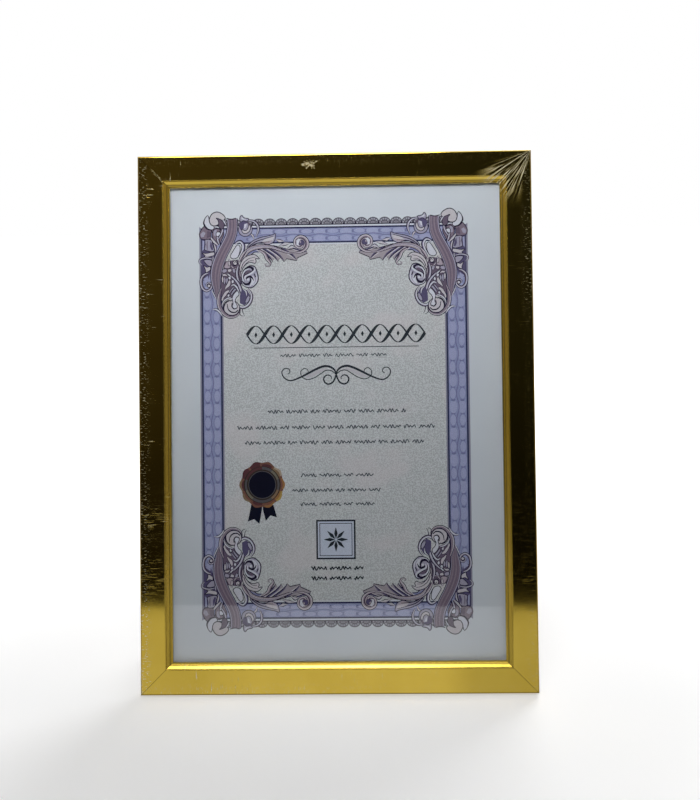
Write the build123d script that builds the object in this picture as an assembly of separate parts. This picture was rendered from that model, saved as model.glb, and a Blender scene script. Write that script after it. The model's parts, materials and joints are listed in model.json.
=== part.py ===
from build123d import *
import os
from math import cos, radians, sin

# Certificate frame for one A4 sheet, standing on its strut and leaning back.
# Panel axes: X to the right seen from the front, Y from front to back, Z up.
# The panel starts upright with the front of its moulding at Y = 0.

# Sheet and everything stacked behind the lip
SHEET_WIDTH = 210.0
SHEET_HEIGHT = 297.0
SHEET_THICKNESS = 0.3
SHEET_MARGIN = 0.5
SHEET_COVER = 5.0
GLASS_THICKNESS = 2.0
FILLER_THICKNESS = 2.0
BACKING_THICKNESS = 3.0
RABBET_CLEARANCE = 0.4

# Moulding profile
MOULDING_WIDTH = 19.0
LIP_THICKNESS = 5.0
EDGE_RADIUS = 0.8
FACE_WIDTH = 15.4
FACE_FALL = 0.35
SHOULDER_RADIUS = 0.3
GROOVE_DEPTH = 1.4
GROOVE_WIDTH = 0.25
BEAD_TOP_DEPTH = 0.75
BEAD_FOOT_DEPTH = 2.75
BEAD_SWELL = 0.14
FILLET_WIDTH = 0.7
FILLET_DEPTH = 3.1

# V-nails in the mitres
NAIL_LEG = 6.0
NAIL_THICKNESS = 0.6
NAIL_HEIGHT = 7.0
NAIL_OUTER_SET = 3.0
NAIL_SPACING = 4.0

# Turn buttons and their screws
BUTTON_THICKNESS = 1.2
BUTTON_RADIUS = 5.2
BUTTON_NOSE_RADIUS = 3.4
BUTTON_REACH = 14.5
BUTTON_LIFT = 0.1
BUTTON_HIGH = 0.72
BUTTON_LOW = 0.3
SCREW_RADIUS = 1.5
SCREW_LENGTH = 9.0
SCREW_HEAD_RADIUS = 2.9
SCREW_HEAD_HEIGHT = 1.7
SCREW_HEAD_BEVEL = 0.6
SCREW_SLOT_LENGTH = 3.2
SCREW_SLOT_WIDTH = 0.7
SCREW_SLOT_DEPTH = 0.8
SCREW_PLAY = 0.05
PILOT_PLAY = 0.03

# Standing pose
LEAN = 12.0
STRUT_OPEN = 24.0
STRUT_SLANT = 45.0
HINGE_FROM_EDGE = 142.0

# Strut and its hinge
STRUT_THICKNESS = 3.0
STRUT_TOP_WIDTH = 46.0
STRUT_FOOT_WIDTH = 62.0
STRUT_CORNER = 4.0
FOOT_CORNER = 2.5
FOLD_GAP = 1.4
HINGE_WIDTH = 36.0
HINGE_METAL = 0.8
HINGE_BEND = 0.6
HINGE_BASE_HEIGHT = 24.0
HINGE_CORNER = 3.0
EAR_WALL = 1.5
CLIP_LENGTH = 26.0
CLIP_SIDE_GAP = 0.3
CLIP_FLOOR_GAP = 0.2
PIN_RADIUS = 1.0
PIN_HEAD_RADIUS = 1.9
PIN_HEAD_THICKNESS = 0.8
PIN_WEB_GAP = 0.4
PIN_RUNNING_FIT = 0.05
PIN_TIGHT_FIT = 0.02
STOP_GAP = 0.12
STRUT_TOP_GAP = 1.2

# Rivets
RIVET_RADIUS = 1.5
RIVET_HEAD_RADIUS = 3.0
RIVET_HEAD_HEIGHT = 0.9
RIVET_HEAD_BEVEL = 0.5
RIVET_FIT = 0.03
RIVET_SPREAD = 10.0
BASE_RIVET_SET = 16.0
CLIP_RIVET_SET = 17.0

# Wall hangers
HANGER_TOP_SET = 52.0
HANGER_SIDE_SET = 42.0
STRAP_WIDTH = 9.0
STRAP_LENGTH = 10.5
STRAP_METAL = 0.8
STRAP_RIVET_SET = 6.2
STRAP_RIVET_HEAD = 2.4
RING_WIRE = 2.0
RING_WIRE_SIDES = 8
RING_INNER_WIDTH = 20.0
RING_INNER_DEPTH = 17.0
RING_BEND = 1.6
RING_RUNNING_FIT = 0.1

# Sizes that follow from the ones above
PANE_WIDTH = SHEET_WIDTH + 2 * SHEET_MARGIN
PANE_HEIGHT = SHEET_HEIGHT + 2 * SHEET_MARGIN
OUTER_WIDTH = SHEET_WIDTH - 2 * SHEET_COVER + 2 * MOULDING_WIDTH
OUTER_HEIGHT = SHEET_HEIGHT - 2 * SHEET_COVER + 2 * MOULDING_WIDTH
RABBET_WIDTH = SHEET_COVER + SHEET_MARGIN + RABBET_CLEARANCE
BACK_WIDTH = MOULDING_WIDTH - RABBET_WIDTH
SHEET_FRONT = LIP_THICKNESS + GLASS_THICKNESS
FILLER_FRONT = SHEET_FRONT + SHEET_THICKNESS
BACKING_FRONT = FILLER_FRONT + FILLER_THICKNESS
DEPTH = BACKING_FRONT + BACKING_THICKNESS
CENTRE_Z = OUTER_HEIGHT / 2
PIN_HEIGHT = FOLD_GAP + STRUT_THICKNESS - PIN_RADIUS - PIN_WEB_GAP
FLANGE_RADIUS = PIN_HEIGHT - HINGE_METAL - CLIP_FLOOR_GAP
EAR_RADIUS = PIN_RADIUS + EAR_WALL
WEB_INNER = FOLD_GAP + STRUT_THICKNESS
WEB_OUTER = WEB_INNER + HINGE_METAL
CLIP_WIDTH = HINGE_WIDTH - 2 * (HINGE_METAL + CLIP_SIDE_GAP)
STRUT_TOP = -(FLANGE_RADIUS + STRUT_TOP_GAP)
HEEL_LENGTH = (
    (WEB_INNER - PIN_HEIGHT) * cos(radians(STRUT_OPEN)) + PIN_HEIGHT - HINGE_METAL - STOP_GAP
) / sin(radians(STRUT_OPEN))
LOOP_INNER = RING_WIRE / 2 + RING_RUNNING_FIT
LOOP_OUTER = LOOP_INNER + STRAP_METAL

# Frames of the fittings on the back
HINGE_FRAME = Plane(
    origin=(HINGE_FROM_EDGE - OUTER_WIDTH / 2, DEPTH, HINGE_FROM_EDGE),
    x_dir=(cos(radians(STRUT_SLANT)), 0, -sin(radians(STRUT_SLANT))),
    z_dir=(sin(radians(STRUT_SLANT)), 0, cos(radians(STRUT_SLANT))),
)
HANGER_FRAMES = {
    "top": Plane((0, DEPTH, OUTER_HEIGHT - HANGER_TOP_SET), x_dir=(1, 0, 0), z_dir=(0, 0, 1)),
    "side": Plane((OUTER_WIDTH / 2 - HANGER_SIDE_SET, DEPTH, CENTRE_Z), x_dir=(0, 0, -1), z_dir=(1, 0, 0)),
}
RING_REST = {"top": LEAN, "side": 0.0}
BUTTON_PLACES = {
    "bottom": (0, BACK_WIDTH / 2, 0),
    "top": (0, OUTER_HEIGHT - BACK_WIDTH / 2, 180),
    "left_low": (BACK_WIDTH / 2 - OUTER_WIDTH / 2, OUTER_HEIGHT * BUTTON_LOW, 90),
    "left_high": (BACK_WIDTH / 2 - OUTER_WIDTH / 2, OUTER_HEIGHT * BUTTON_HIGH, 90),
    "right_low": (OUTER_WIDTH / 2 - BACK_WIDTH / 2, OUTER_HEIGHT * BUTTON_LOW, -90),
    "right_high": (OUTER_WIDTH / 2 - BACK_WIDTH / 2, OUTER_HEIGHT * BUTTON_HIGH, -90),
}
RAIL_TURNS = {"bottom": 0, "left": 90, "top": 180, "right": -90}
PIN_LINE = Axis((0, PIN_HEIGHT, 0), (1, 0, 0))
RING_LINE = Axis((0, LOOP_OUTER, 0), (1, 0, 0))


def slab(width, height, front, thickness):
    """Flat rectangular layer centred in the panel."""
    layer = extrude(Plane.XZ * Rectangle(width, height), -thickness)
    return Pos(0, front, CENTRE_Z) * layer


def moulding_profile():
    """Cross-section of the moulding: local X runs to the back, local Y from outside to sight edge."""
    face_end = FACE_WIDTH - SHOULDER_RADIUS
    bead_start = FACE_WIDTH + GROOVE_WIDTH
    bead_end = MOULDING_WIDTH - FILLET_WIDTH
    corner = EDGE_RADIUS * (1 - sin(radians(45)))
    shoulder = SHOULDER_RADIUS * sin(radians(45))
    lines = [
        Line((DEPTH, 0), (EDGE_RADIUS, 0)),
        ThreePointArc((EDGE_RADIUS, 0), (corner, corner), (0, EDGE_RADIUS)),
        Line((0, EDGE_RADIUS), (FACE_FALL, face_end)),
        ThreePointArc(
            (FACE_FALL, face_end),
            (FACE_FALL + SHOULDER_RADIUS - shoulder, face_end + shoulder),
            (FACE_FALL + SHOULDER_RADIUS, FACE_WIDTH),
        ),
        Polyline(
            (FACE_FALL + SHOULDER_RADIUS, FACE_WIDTH),
            (GROOVE_DEPTH, FACE_WIDTH),
            (GROOVE_DEPTH, bead_start),
            (BEAD_TOP_DEPTH, bead_start),
        ),
        SagittaArc((BEAD_TOP_DEPTH, bead_start), (BEAD_FOOT_DEPTH, bead_end), BEAD_SWELL),
        Polyline(
            (BEAD_FOOT_DEPTH, bead_end),
            (FILLET_DEPTH, bead_end),
            (FILLET_DEPTH, MOULDING_WIDTH),
            (LIP_THICKNESS, MOULDING_WIDTH),
            (LIP_THICKNESS, BACK_WIDTH),
            (DEPTH, BACK_WIDTH),
            (DEPTH, 0),
        ),
    ]
    return make_face(lines)


def rail(length, half_span):
    """Bottom-side length of moulding about the panel centre, cut to its mitres."""
    bar = extrude(Plane.YZ * moulding_profile(), length / 2, both=True)
    inner = length / 2 - MOULDING_WIDTH
    mitre = Polygon(
        (-length / 2, 0), (length / 2, 0), (inner, MOULDING_WIDTH), (-inner, MOULDING_WIDTH), align=None
    )
    return Pos(0, 0, -half_span) * (bar & extrude(Plane.XZ * mitre, -DEPTH))


def turned_about_centre(shape, turn):
    """The shape moved from the bottom side to another side of the panel."""
    return Pos(0, 0, CENTRE_Z) * Rot(0, turn, 0) * shape


def rails():
    """Four mitred lengths that meet at the corners."""
    made = {}
    for side, turn in RAIL_TURNS.items():
        upright = side in ("left", "right")
        length = OUTER_HEIGHT if upright else OUTER_WIDTH
        half_span = OUTER_WIDTH / 2 if upright else OUTER_HEIGHT / 2
        made[side] = turned_about_centre(rail(length, half_span), turn)
    return made


def v_nails():
    """Two V-nails in every mitre, flush with the back."""
    nails = []
    for side_x in (-1, 1):
        for end_z in (0, 1):
            for step in range(2):
                place = NAIL_OUTER_SET + step * NAIL_SPACING
                vee = Polygon(
                    (0, 0),
                    (NAIL_LEG, 0),
                    (NAIL_LEG, NAIL_THICKNESS),
                    (NAIL_THICKNESS, NAIL_THICKNESS),
                    (NAIL_THICKNESS, NAIL_LEG),
                    (0, NAIL_LEG),
                    align=None,
                )
                if side_x > 0:
                    vee = mirror(vee, about=Plane.YZ)
                if end_z:
                    vee = mirror(vee, about=Plane.XZ)
                corner_x = side_x * (OUTER_WIDTH / 2 - place)
                corner_z = OUTER_HEIGHT - place if end_z else place
                nail = extrude(Plane.XZ * vee, -NAIL_HEIGHT)
                nails.append(Pos(corner_x, DEPTH - NAIL_HEIGHT, corner_z) * nail)
    return nails


def standing(shape):
    """A shape drawn along +Z, turned so that it points to the back of the panel."""
    return Rot(-90, 0, 0) * shape


def rivet(grip, head_radius):
    """Rivet along +Z: shank from -grip to 0, bevelled head above."""
    outline = Polyline(
        (0, -grip),
        (RIVET_RADIUS, -grip),
        (RIVET_RADIUS, 0),
        (head_radius, 0),
        (head_radius - RIVET_HEAD_BEVEL, RIVET_HEAD_HEIGHT),
        (0, RIVET_HEAD_HEIGHT),
        close=True,
    )
    return revolve(Plane.XZ * make_face(outline), Axis.Z)


def button_screw():
    """Pan-head cross screw along +Z: head above 0, shank below."""
    outline = Polyline(
        (0, -SCREW_LENGTH),
        (SCREW_RADIUS, -SCREW_LENGTH),
        (SCREW_RADIUS, 0),
        (SCREW_HEAD_RADIUS, 0),
        (SCREW_HEAD_RADIUS, SCREW_HEAD_HEIGHT - SCREW_HEAD_BEVEL),
        (SCREW_HEAD_RADIUS - SCREW_HEAD_BEVEL, SCREW_HEAD_HEIGHT),
        (0, SCREW_HEAD_HEIGHT),
        close=True,
    )
    screw = revolve(Plane.XZ * make_face(outline), Axis.Z)
    slot = Pos(0, 0, SCREW_HEAD_HEIGHT) * Box(SCREW_SLOT_LENGTH, SCREW_SLOT_WIDTH, 2 * SCREW_SLOT_DEPTH)
    return screw - slot - Rot(0, 0, 90) * slot


def pilot_hole():
    """Hole in the moulding for a button screw, along +Z below 0."""
    radius = SCREW_RADIUS + PILOT_PLAY
    depth = SCREW_LENGTH - BUTTON_THICKNESS - BUTTON_LIFT
    return Pos(0, 0, -depth) * Cylinder(radius, depth, align=(Align.CENTER, Align.CENTER, Align.MIN))


def turn_button():
    """Plate button along +Y from its pivot, thickness along +Z."""
    outline = make_hull(
        [
            Circle(BUTTON_RADIUS).edge(),
            (Pos(0, BUTTON_REACH) * Circle(BUTTON_NOSE_RADIUS)).edge(),
        ]
    )
    plate = extrude(outline, BUTTON_THICKNESS)
    return plate - Cylinder(SCREW_RADIUS + SCREW_PLAY, 4 * BUTTON_THICKNESS)


def on_back(shape, place, lift):
    """A fitting drawn along +Y and +Z, set on the back at one of the button places."""
    x, z, turn = place
    return Pos(x, DEPTH + lift, z) * Rot(0, turn, 0) * Rot(-90, 0, 0) * Rot(0, 0, 180) * shape


def bent_channel(width, height, length_low, length_high):
    """U-shaped strip: web on XZ at Y = 0, sides along +Y, from length_low to length_high along Z."""
    outer = RectangleRounded(width, 2 * height, HINGE_BEND + HINGE_METAL)
    inner = RectangleRounded(width - 2 * HINGE_METAL, 2 * (height - HINGE_METAL), HINGE_BEND)
    half = Pos(0, -height / 2) * Rectangle(2 * width, height)
    profile = Pos(0, height) * ((outer - inner) & half)
    return Pos(0, 0, length_low) * extrude(profile, length_high - length_low)


def round_end(centre_y, radius, root_y, width):
    """Block across the hinge that rounds its sides about the pin."""
    disc = Pos(centre_y, 0) * Circle(radius)
    stem = Pos((centre_y + root_y) / 2, 0) * Rectangle(abs(centre_y - root_y), 2 * radius)
    return extrude(Plane.YZ * (disc + stem), width, both=True)


def hinge_plate(low, high, y, width):
    """Flat rounded plate of hinge metal from low to high along Z."""
    outline = RectangleRounded(width, high - low, HINGE_CORNER)
    return Pos(0, y, (low + high) / 2) * extrude(Plane.XZ * outline, -HINGE_METAL)


def pin_hole(play):
    """Hole along the hinge line."""
    return Pos(0, PIN_HEIGHT, 0) * Rot(0, 90, 0) * Cylinder(PIN_RADIUS + play, 2 * HINGE_WIDTH)


def rivet_points(along):
    """Places of a pair of rivets in the hinge frame."""
    return [(-RIVET_SPREAD, along), (RIVET_SPREAD, along)]


def rivet_hole(depth):
    """Hole for a rivet, along +Y from 0."""
    hole = Cylinder(RIVET_RADIUS + RIVET_FIT, depth, align=(Align.CENTER, Align.CENTER, Align.MIN))
    return standing(hole)


def hinge_base():
    """Bracket on the board with an ear at each end of the pin."""
    sides = bent_channel(HINGE_WIDTH, PIN_HEIGHT + EAR_RADIUS, -EAR_RADIUS, EAR_RADIUS)
    ears = sides & round_end(PIN_HEIGHT, EAR_RADIUS, 0, HINGE_WIDTH)
    body = ears + hinge_plate(-EAR_RADIUS, HINGE_BASE_HEIGHT, 0, HINGE_WIDTH - 2 * HINGE_METAL - HINGE_BEND)
    body -= pin_hole(PIN_TIGHT_FIT)
    for x, z in rivet_points(BASE_RIVET_SET):
        body -= Pos(x, 0, z) * rivet_hole(HINGE_METAL)
    return body


def strut_clip():
    """Channel riveted to the strut, with its heel above the pin."""
    height = WEB_OUTER - PIN_HEIGHT + FLANGE_RADIUS
    sides = bent_channel(CLIP_WIDTH, height, -FLANGE_RADIUS, FLANGE_RADIUS)
    sides = Pos(0, WEB_OUTER, 0) * Rot(0, 0, 180) * sides
    sides = sides & round_end(PIN_HEIGHT, FLANGE_RADIUS, WEB_OUTER, CLIP_WIDTH)
    web = hinge_plate(-CLIP_LENGTH, HEEL_LENGTH, WEB_INNER, CLIP_WIDTH - 2 * HINGE_METAL - HINGE_BEND)
    body = sides + web - pin_hole(PIN_RUNNING_FIT)
    for x, z in rivet_points(-CLIP_RIVET_SET):
        body -= Pos(x, WEB_INNER, z) * rivet_hole(HINGE_METAL)
    return body


def hinge_pin():
    """Pin with a head outside each ear."""
    half = HINGE_WIDTH / 2
    outline = Polyline(
        (-half - PIN_HEAD_THICKNESS, 0),
        (-half - PIN_HEAD_THICKNESS, PIN_HEAD_RADIUS),
        (-half, PIN_HEAD_RADIUS),
        (-half, PIN_RADIUS),
        (half, PIN_RADIUS),
        (half, PIN_HEAD_RADIUS),
        (half + PIN_HEAD_THICKNESS, PIN_HEAD_RADIUS),
        (half + PIN_HEAD_THICKNESS, 0),
        close=True,
    )
    return Pos(0, PIN_HEIGHT, 0) * revolve(make_face(outline), Axis.X)


def foot_line(across, height, across_slope, up_slope):
    """Height along the strut where its inner face meets the table, at a place across the strut."""
    lean = radians(LEAN)
    opening = radians(STRUT_OPEN)
    inset = FOLD_GAP - PIN_HEIGHT
    lever = cos(opening) * up_slope * cos(lean) + sin(opening) * sin(lean)
    back = (PIN_HEIGHT + inset * cos(opening)) * sin(lean)
    return (back - (height + across * across_slope + inset * sin(opening) * up_slope) * cos(lean)) / lever


def portrait_foot(across):
    """Foot line with the short side of the panel down."""
    slant = radians(STRUT_SLANT)
    return foot_line(across, HINGE_FROM_EDGE, -sin(slant), cos(slant))


def landscape_foot(across):
    """Foot line with the left side of the panel down."""
    slant = radians(STRUT_SLANT)
    return foot_line(across, HINGE_FROM_EDGE, cos(slant), sin(slant))


def strut_board():
    """Folded strut in the hinge frame: tapered board with a two-way foot."""
    rise = portrait_foot(1) - portrait_foot(0)
    fall = landscape_foot(1) - landscape_foot(0)
    tip_x = (landscape_foot(0) - portrait_foot(0)) / (rise - fall)
    half_foot = STRUT_FOOT_WIDTH / 2
    half_top = STRUT_TOP_WIDTH / 2
    corners = [
        (-half_top, STRUT_TOP),
        (half_top, STRUT_TOP),
        (half_foot, portrait_foot(half_foot)),
        (tip_x, portrait_foot(tip_x)),
        (-half_foot, landscape_foot(-half_foot)),
    ]
    outline = make_face(Polyline(*corners, close=True))
    ranked = outline.vertices().sort_by(Axis.Y)
    outline = fillet(ranked[-2:], STRUT_CORNER)
    outline = fillet(outline.vertices().sort_by(Axis.Y)[:3], FOOT_CORNER)
    board = Pos(0, FOLD_GAP, 0) * extrude(Plane.XZ * outline, -STRUT_THICKNESS)
    for x, z in rivet_points(-CLIP_RIVET_SET):
        board -= Pos(x, FOLD_GAP, z) * rivet_hole(STRUT_THICKNESS)
    return board


def hanger_strap():
    """Strap folded round the bar of its ring, in the hanger frame."""
    layers = Pos(STRAP_METAL, -STRAP_LENGTH / 2) * Rectangle(2 * STRAP_METAL, STRAP_LENGTH)
    loop = Pos(LOOP_OUTER, 0) * Circle(LOOP_OUTER)
    bore = Pos(LOOP_OUTER, 0) * Circle(LOOP_INNER)
    strap = extrude(Plane.YZ * (layers + loop - bore), STRAP_WIDTH / 2, both=True)
    end_radius = STRAP_WIDTH / 2
    end = Pos(0, end_radius - STRAP_LENGTH) * Circle(end_radius)
    upper = Pos(0, (end_radius - STRAP_LENGTH + LOOP_OUTER) / 2) * Rectangle(
        STRAP_WIDTH, STRAP_LENGTH - end_radius + LOOP_OUTER
    )
    strap = strap & extrude(Plane.XZ * (end + upper), -3 * LOOP_OUTER)
    return strap - Pos(0, 0, -STRAP_RIVET_SET) * rivet_hole(2 * STRAP_METAL)


def hanger_ring():
    """D-ring of round wire hanging from its bar, in the hanger frame."""
    half = RING_INNER_WIDTH / 2 + RING_WIRE / 2
    depth = RING_INNER_DEPTH + RING_WIRE / 2
    spring = half - depth
    path = [
        Line((-half + RING_BEND, 0), (half - RING_BEND, 0)),
        RadiusArc((half - RING_BEND, 0), (half, -RING_BEND), RING_BEND),
        Line((half, -RING_BEND), (half, spring)),
        ThreePointArc((half, spring), (0, -depth), (-half, spring)),
        Line((-half, spring), (-half, -RING_BEND)),
        RadiusArc((-half, -RING_BEND), (-half + RING_BEND, 0), RING_BEND),
    ]
    wire = Plane.XZ.offset(-LOOP_OUTER) * Wire(path)
    section = Plane(wire @ 0, z_dir=wire % 0) * RegularPolygon(RING_WIRE / 2, RING_WIRE_SIDES)
    return sweep(section, path=wire)


def in_frame(plane, shape):
    """A fitting moved from its own frame to the panel."""
    return plane.location * shape


def panel_pieces():
    """Every piece in the upright panel, with the strut open and the rings at rest."""
    pieces = {}
    nails = v_nails()
    screw_spots = {}
    for name, place in BUTTON_PLACES.items():
        screw_spots[name] = on_back(button_screw(), place, BUTTON_LIFT + BUTTON_THICKNESS)
        pieces["turn_button_" + name] = on_back(turn_button(), place, BUTTON_LIFT)
    for side, shape in rails().items():
        for nail in nails:
            shape -= nail
        for name, place in BUTTON_PLACES.items():
            if name.startswith(side):
                shape -= on_back(pilot_hole(), place, 0)
        pieces[side + "_rail"] = shape
    pieces["corner_v_nails"] = nails
    pieces["button_screws"] = list(screw_spots.values())
    pieces["glass_pane"] = slab(PANE_WIDTH, PANE_HEIGHT, LIP_THICKNESS, GLASS_THICKNESS)
    pieces["certificate_sheet"] = slab(SHEET_WIDTH, SHEET_HEIGHT, SHEET_FRONT, SHEET_THICKNESS)
    pieces["filler_card"] = slab(PANE_WIDTH, PANE_HEIGHT, FILLER_FRONT, FILLER_THICKNESS)

    board = slab(PANE_WIDTH, PANE_HEIGHT, BACKING_FRONT, BACKING_THICKNESS)
    through = Pos(0, -BACKING_THICKNESS, 0) * rivet_hole(BACKING_THICKNESS)
    base_rivets = []
    clip_rivets = []
    for x, z in rivet_points(BASE_RIVET_SET):
        board -= in_frame(HINGE_FRAME, Pos(x, 0, z) * through)
        stud = Pos(x, HINGE_METAL, z) * standing(rivet(BACKING_THICKNESS + HINGE_METAL, RIVET_HEAD_RADIUS))
        base_rivets.append(in_frame(HINGE_FRAME, stud))
    for x, z in rivet_points(-CLIP_RIVET_SET):
        stud = Pos(x, WEB_OUTER, z) * standing(rivet(STRUT_THICKNESS + HINGE_METAL, RIVET_HEAD_RADIUS))
        clip_rivets.append(opened(stud))
    hanger_rivets = []
    for name, plane in HANGER_FRAMES.items():
        board -= in_frame(plane, Pos(0, 0, -STRAP_RIVET_SET) * through)
        grip = BACKING_THICKNESS + 2 * STRAP_METAL
        stud = Pos(0, 2 * STRAP_METAL, -STRAP_RIVET_SET) * standing(rivet(grip, STRAP_RIVET_HEAD))
        hanger_rivets.append(in_frame(plane, stud))
        pieces["hanger_strap_" + name] = in_frame(plane, hanger_strap())
        swung = hanger_ring().rotate(RING_LINE, RING_REST[name])
        pieces["hanger_ring_" + name] = in_frame(plane, swung)
    pieces["backing_board"] = board
    pieces["hinge_base"] = in_frame(HINGE_FRAME, hinge_base())
    pieces["hinge_pin"] = in_frame(HINGE_FRAME, hinge_pin())
    pieces["hinge_base_rivets"] = base_rivets
    pieces["hanger_rivets"] = hanger_rivets
    pieces["strut_clip"] = opened(strut_clip())
    pieces["strut_board"] = opened(strut_board())
    pieces["strut_clip_rivets"] = clip_rivets
    return pieces


def opened(shape):
    """A piece of the folded strut, swung open to its stop and set on the panel."""
    return in_frame(HINGE_FRAME, shape.rotate(PIN_LINE, STRUT_OPEN))


def as_shapes(piece):
    """The separate solids of a piece."""
    return list(piece) if isinstance(piece, list) else [piece]


def standing_place(pieces):
    """Move that leans the panel back and sets the middle of its underside on the origin."""
    lean = Rot(-LEAN, 0, 0)
    solids = []
    for piece in pieces.values():
        for shape in as_shapes(piece):
            solids.append(lean * shape)
    box = Compound(children=solids).bounding_box()
    return Pos(-box.center().X, -box.center().Y, -box.min.Z) * lean


def build():
    """Every piece of the standing frame, by name."""
    pieces = panel_pieces()
    place = standing_place(pieces)
    placed = {}
    for name, piece in pieces.items():
        placed[name] = [place * shape for shape in as_shapes(piece)]
    return placed, place


def main():
    os.makedirs("parts", exist_ok=True)
    placed, _ = build()
    for name, shapes in placed.items():
        node = shapes[0] if len(shapes) == 1 else Compound(children=shapes)
        node.label = name
        export_step(node, f"parts/{name}.step")


if __name__ == "__main__":
    main()
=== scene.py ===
import json
import math

import bmesh
import bpy
from mathutils import Matrix, Vector
from mathutils.geometry import delaunay_2d_cdt


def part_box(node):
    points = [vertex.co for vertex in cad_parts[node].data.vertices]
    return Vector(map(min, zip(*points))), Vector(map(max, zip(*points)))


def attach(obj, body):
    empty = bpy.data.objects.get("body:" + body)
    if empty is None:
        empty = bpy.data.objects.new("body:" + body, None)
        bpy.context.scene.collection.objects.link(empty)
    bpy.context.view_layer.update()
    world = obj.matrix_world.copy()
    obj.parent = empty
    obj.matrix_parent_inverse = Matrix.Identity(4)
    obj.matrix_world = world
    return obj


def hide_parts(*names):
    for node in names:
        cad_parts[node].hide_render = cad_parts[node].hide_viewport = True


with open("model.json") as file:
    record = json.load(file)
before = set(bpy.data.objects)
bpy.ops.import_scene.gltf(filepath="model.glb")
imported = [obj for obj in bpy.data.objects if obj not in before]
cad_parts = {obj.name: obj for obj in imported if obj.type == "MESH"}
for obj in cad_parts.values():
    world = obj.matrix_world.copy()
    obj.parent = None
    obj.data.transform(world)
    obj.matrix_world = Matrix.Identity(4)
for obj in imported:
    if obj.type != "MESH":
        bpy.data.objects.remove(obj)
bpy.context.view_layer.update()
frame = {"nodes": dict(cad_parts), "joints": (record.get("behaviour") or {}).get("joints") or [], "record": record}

# A4 certificate frame: gold-foiled moulding, glass, printed sheet, hardboard back with strut and rings.
MM = 0.001
NODES = frame["nodes"]
MOUNTS = {mount["name"]: mount for mount in frame["record"]["mounts"]}
JOINTS = {joint["name"]: joint for joint in frame["joints"]}

# Axes of the leaning panel: to the right, up along the front, and from front to back
UP = -Vector(MOUNTS["bottom_edge"]["axis"])
RIGHT = -Vector(MOUNTS["left_edge"]["axis"])
BACK = UP.cross(RIGHT)
LEAN = math.atan2(UP.y, UP.z)


def reach(node, direction):
    """Lowest and highest place of a node along a direction, in metres."""
    places = [vertex.co.dot(direction) for vertex in NODES[node].data.vertices]
    return min(places), max(places)


# Outer edges of the panel, and the front and back of its moulding
PANEL_SIDE = reach("bottom_rail", RIGHT)
PANEL_RISE = reach("left_rail", UP)
MOULDING_FRONT, MOULDING_BACK = reach("left_rail", BACK)

# Room of the sheet between the pane and the card behind it
SHEET_SIDE = reach("certificate_sheet", RIGHT)
SHEET_RISE = reach("certificate_sheet", UP)
SHEET_CENTRE = RIGHT * (sum(SHEET_SIDE) / 2) + UP * (sum(SHEET_RISE) / 2)
PAPER_SET_BACK = 0.12 * MM
PAPER_CLEARANCE = 0.02 * MM
PAPER_FRONT = reach("glass_pane", BACK)[1] + PAPER_SET_BACK
PAPER_BACK = reach("filler_card", BACK)[0] - PAPER_CLEARANCE
PRINT_STEP = 0.025 * MM


def on_sheet(u, v, level):
    """Point of the print: u to the right and v up from the sheet's centre in mm, on a print level."""
    depth = PAPER_FRONT - level * PRINT_STEP
    return SHEET_CENTRE + RIGHT * (u * MM) + UP * (v * MM) + BACK * depth


# Material kit


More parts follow.
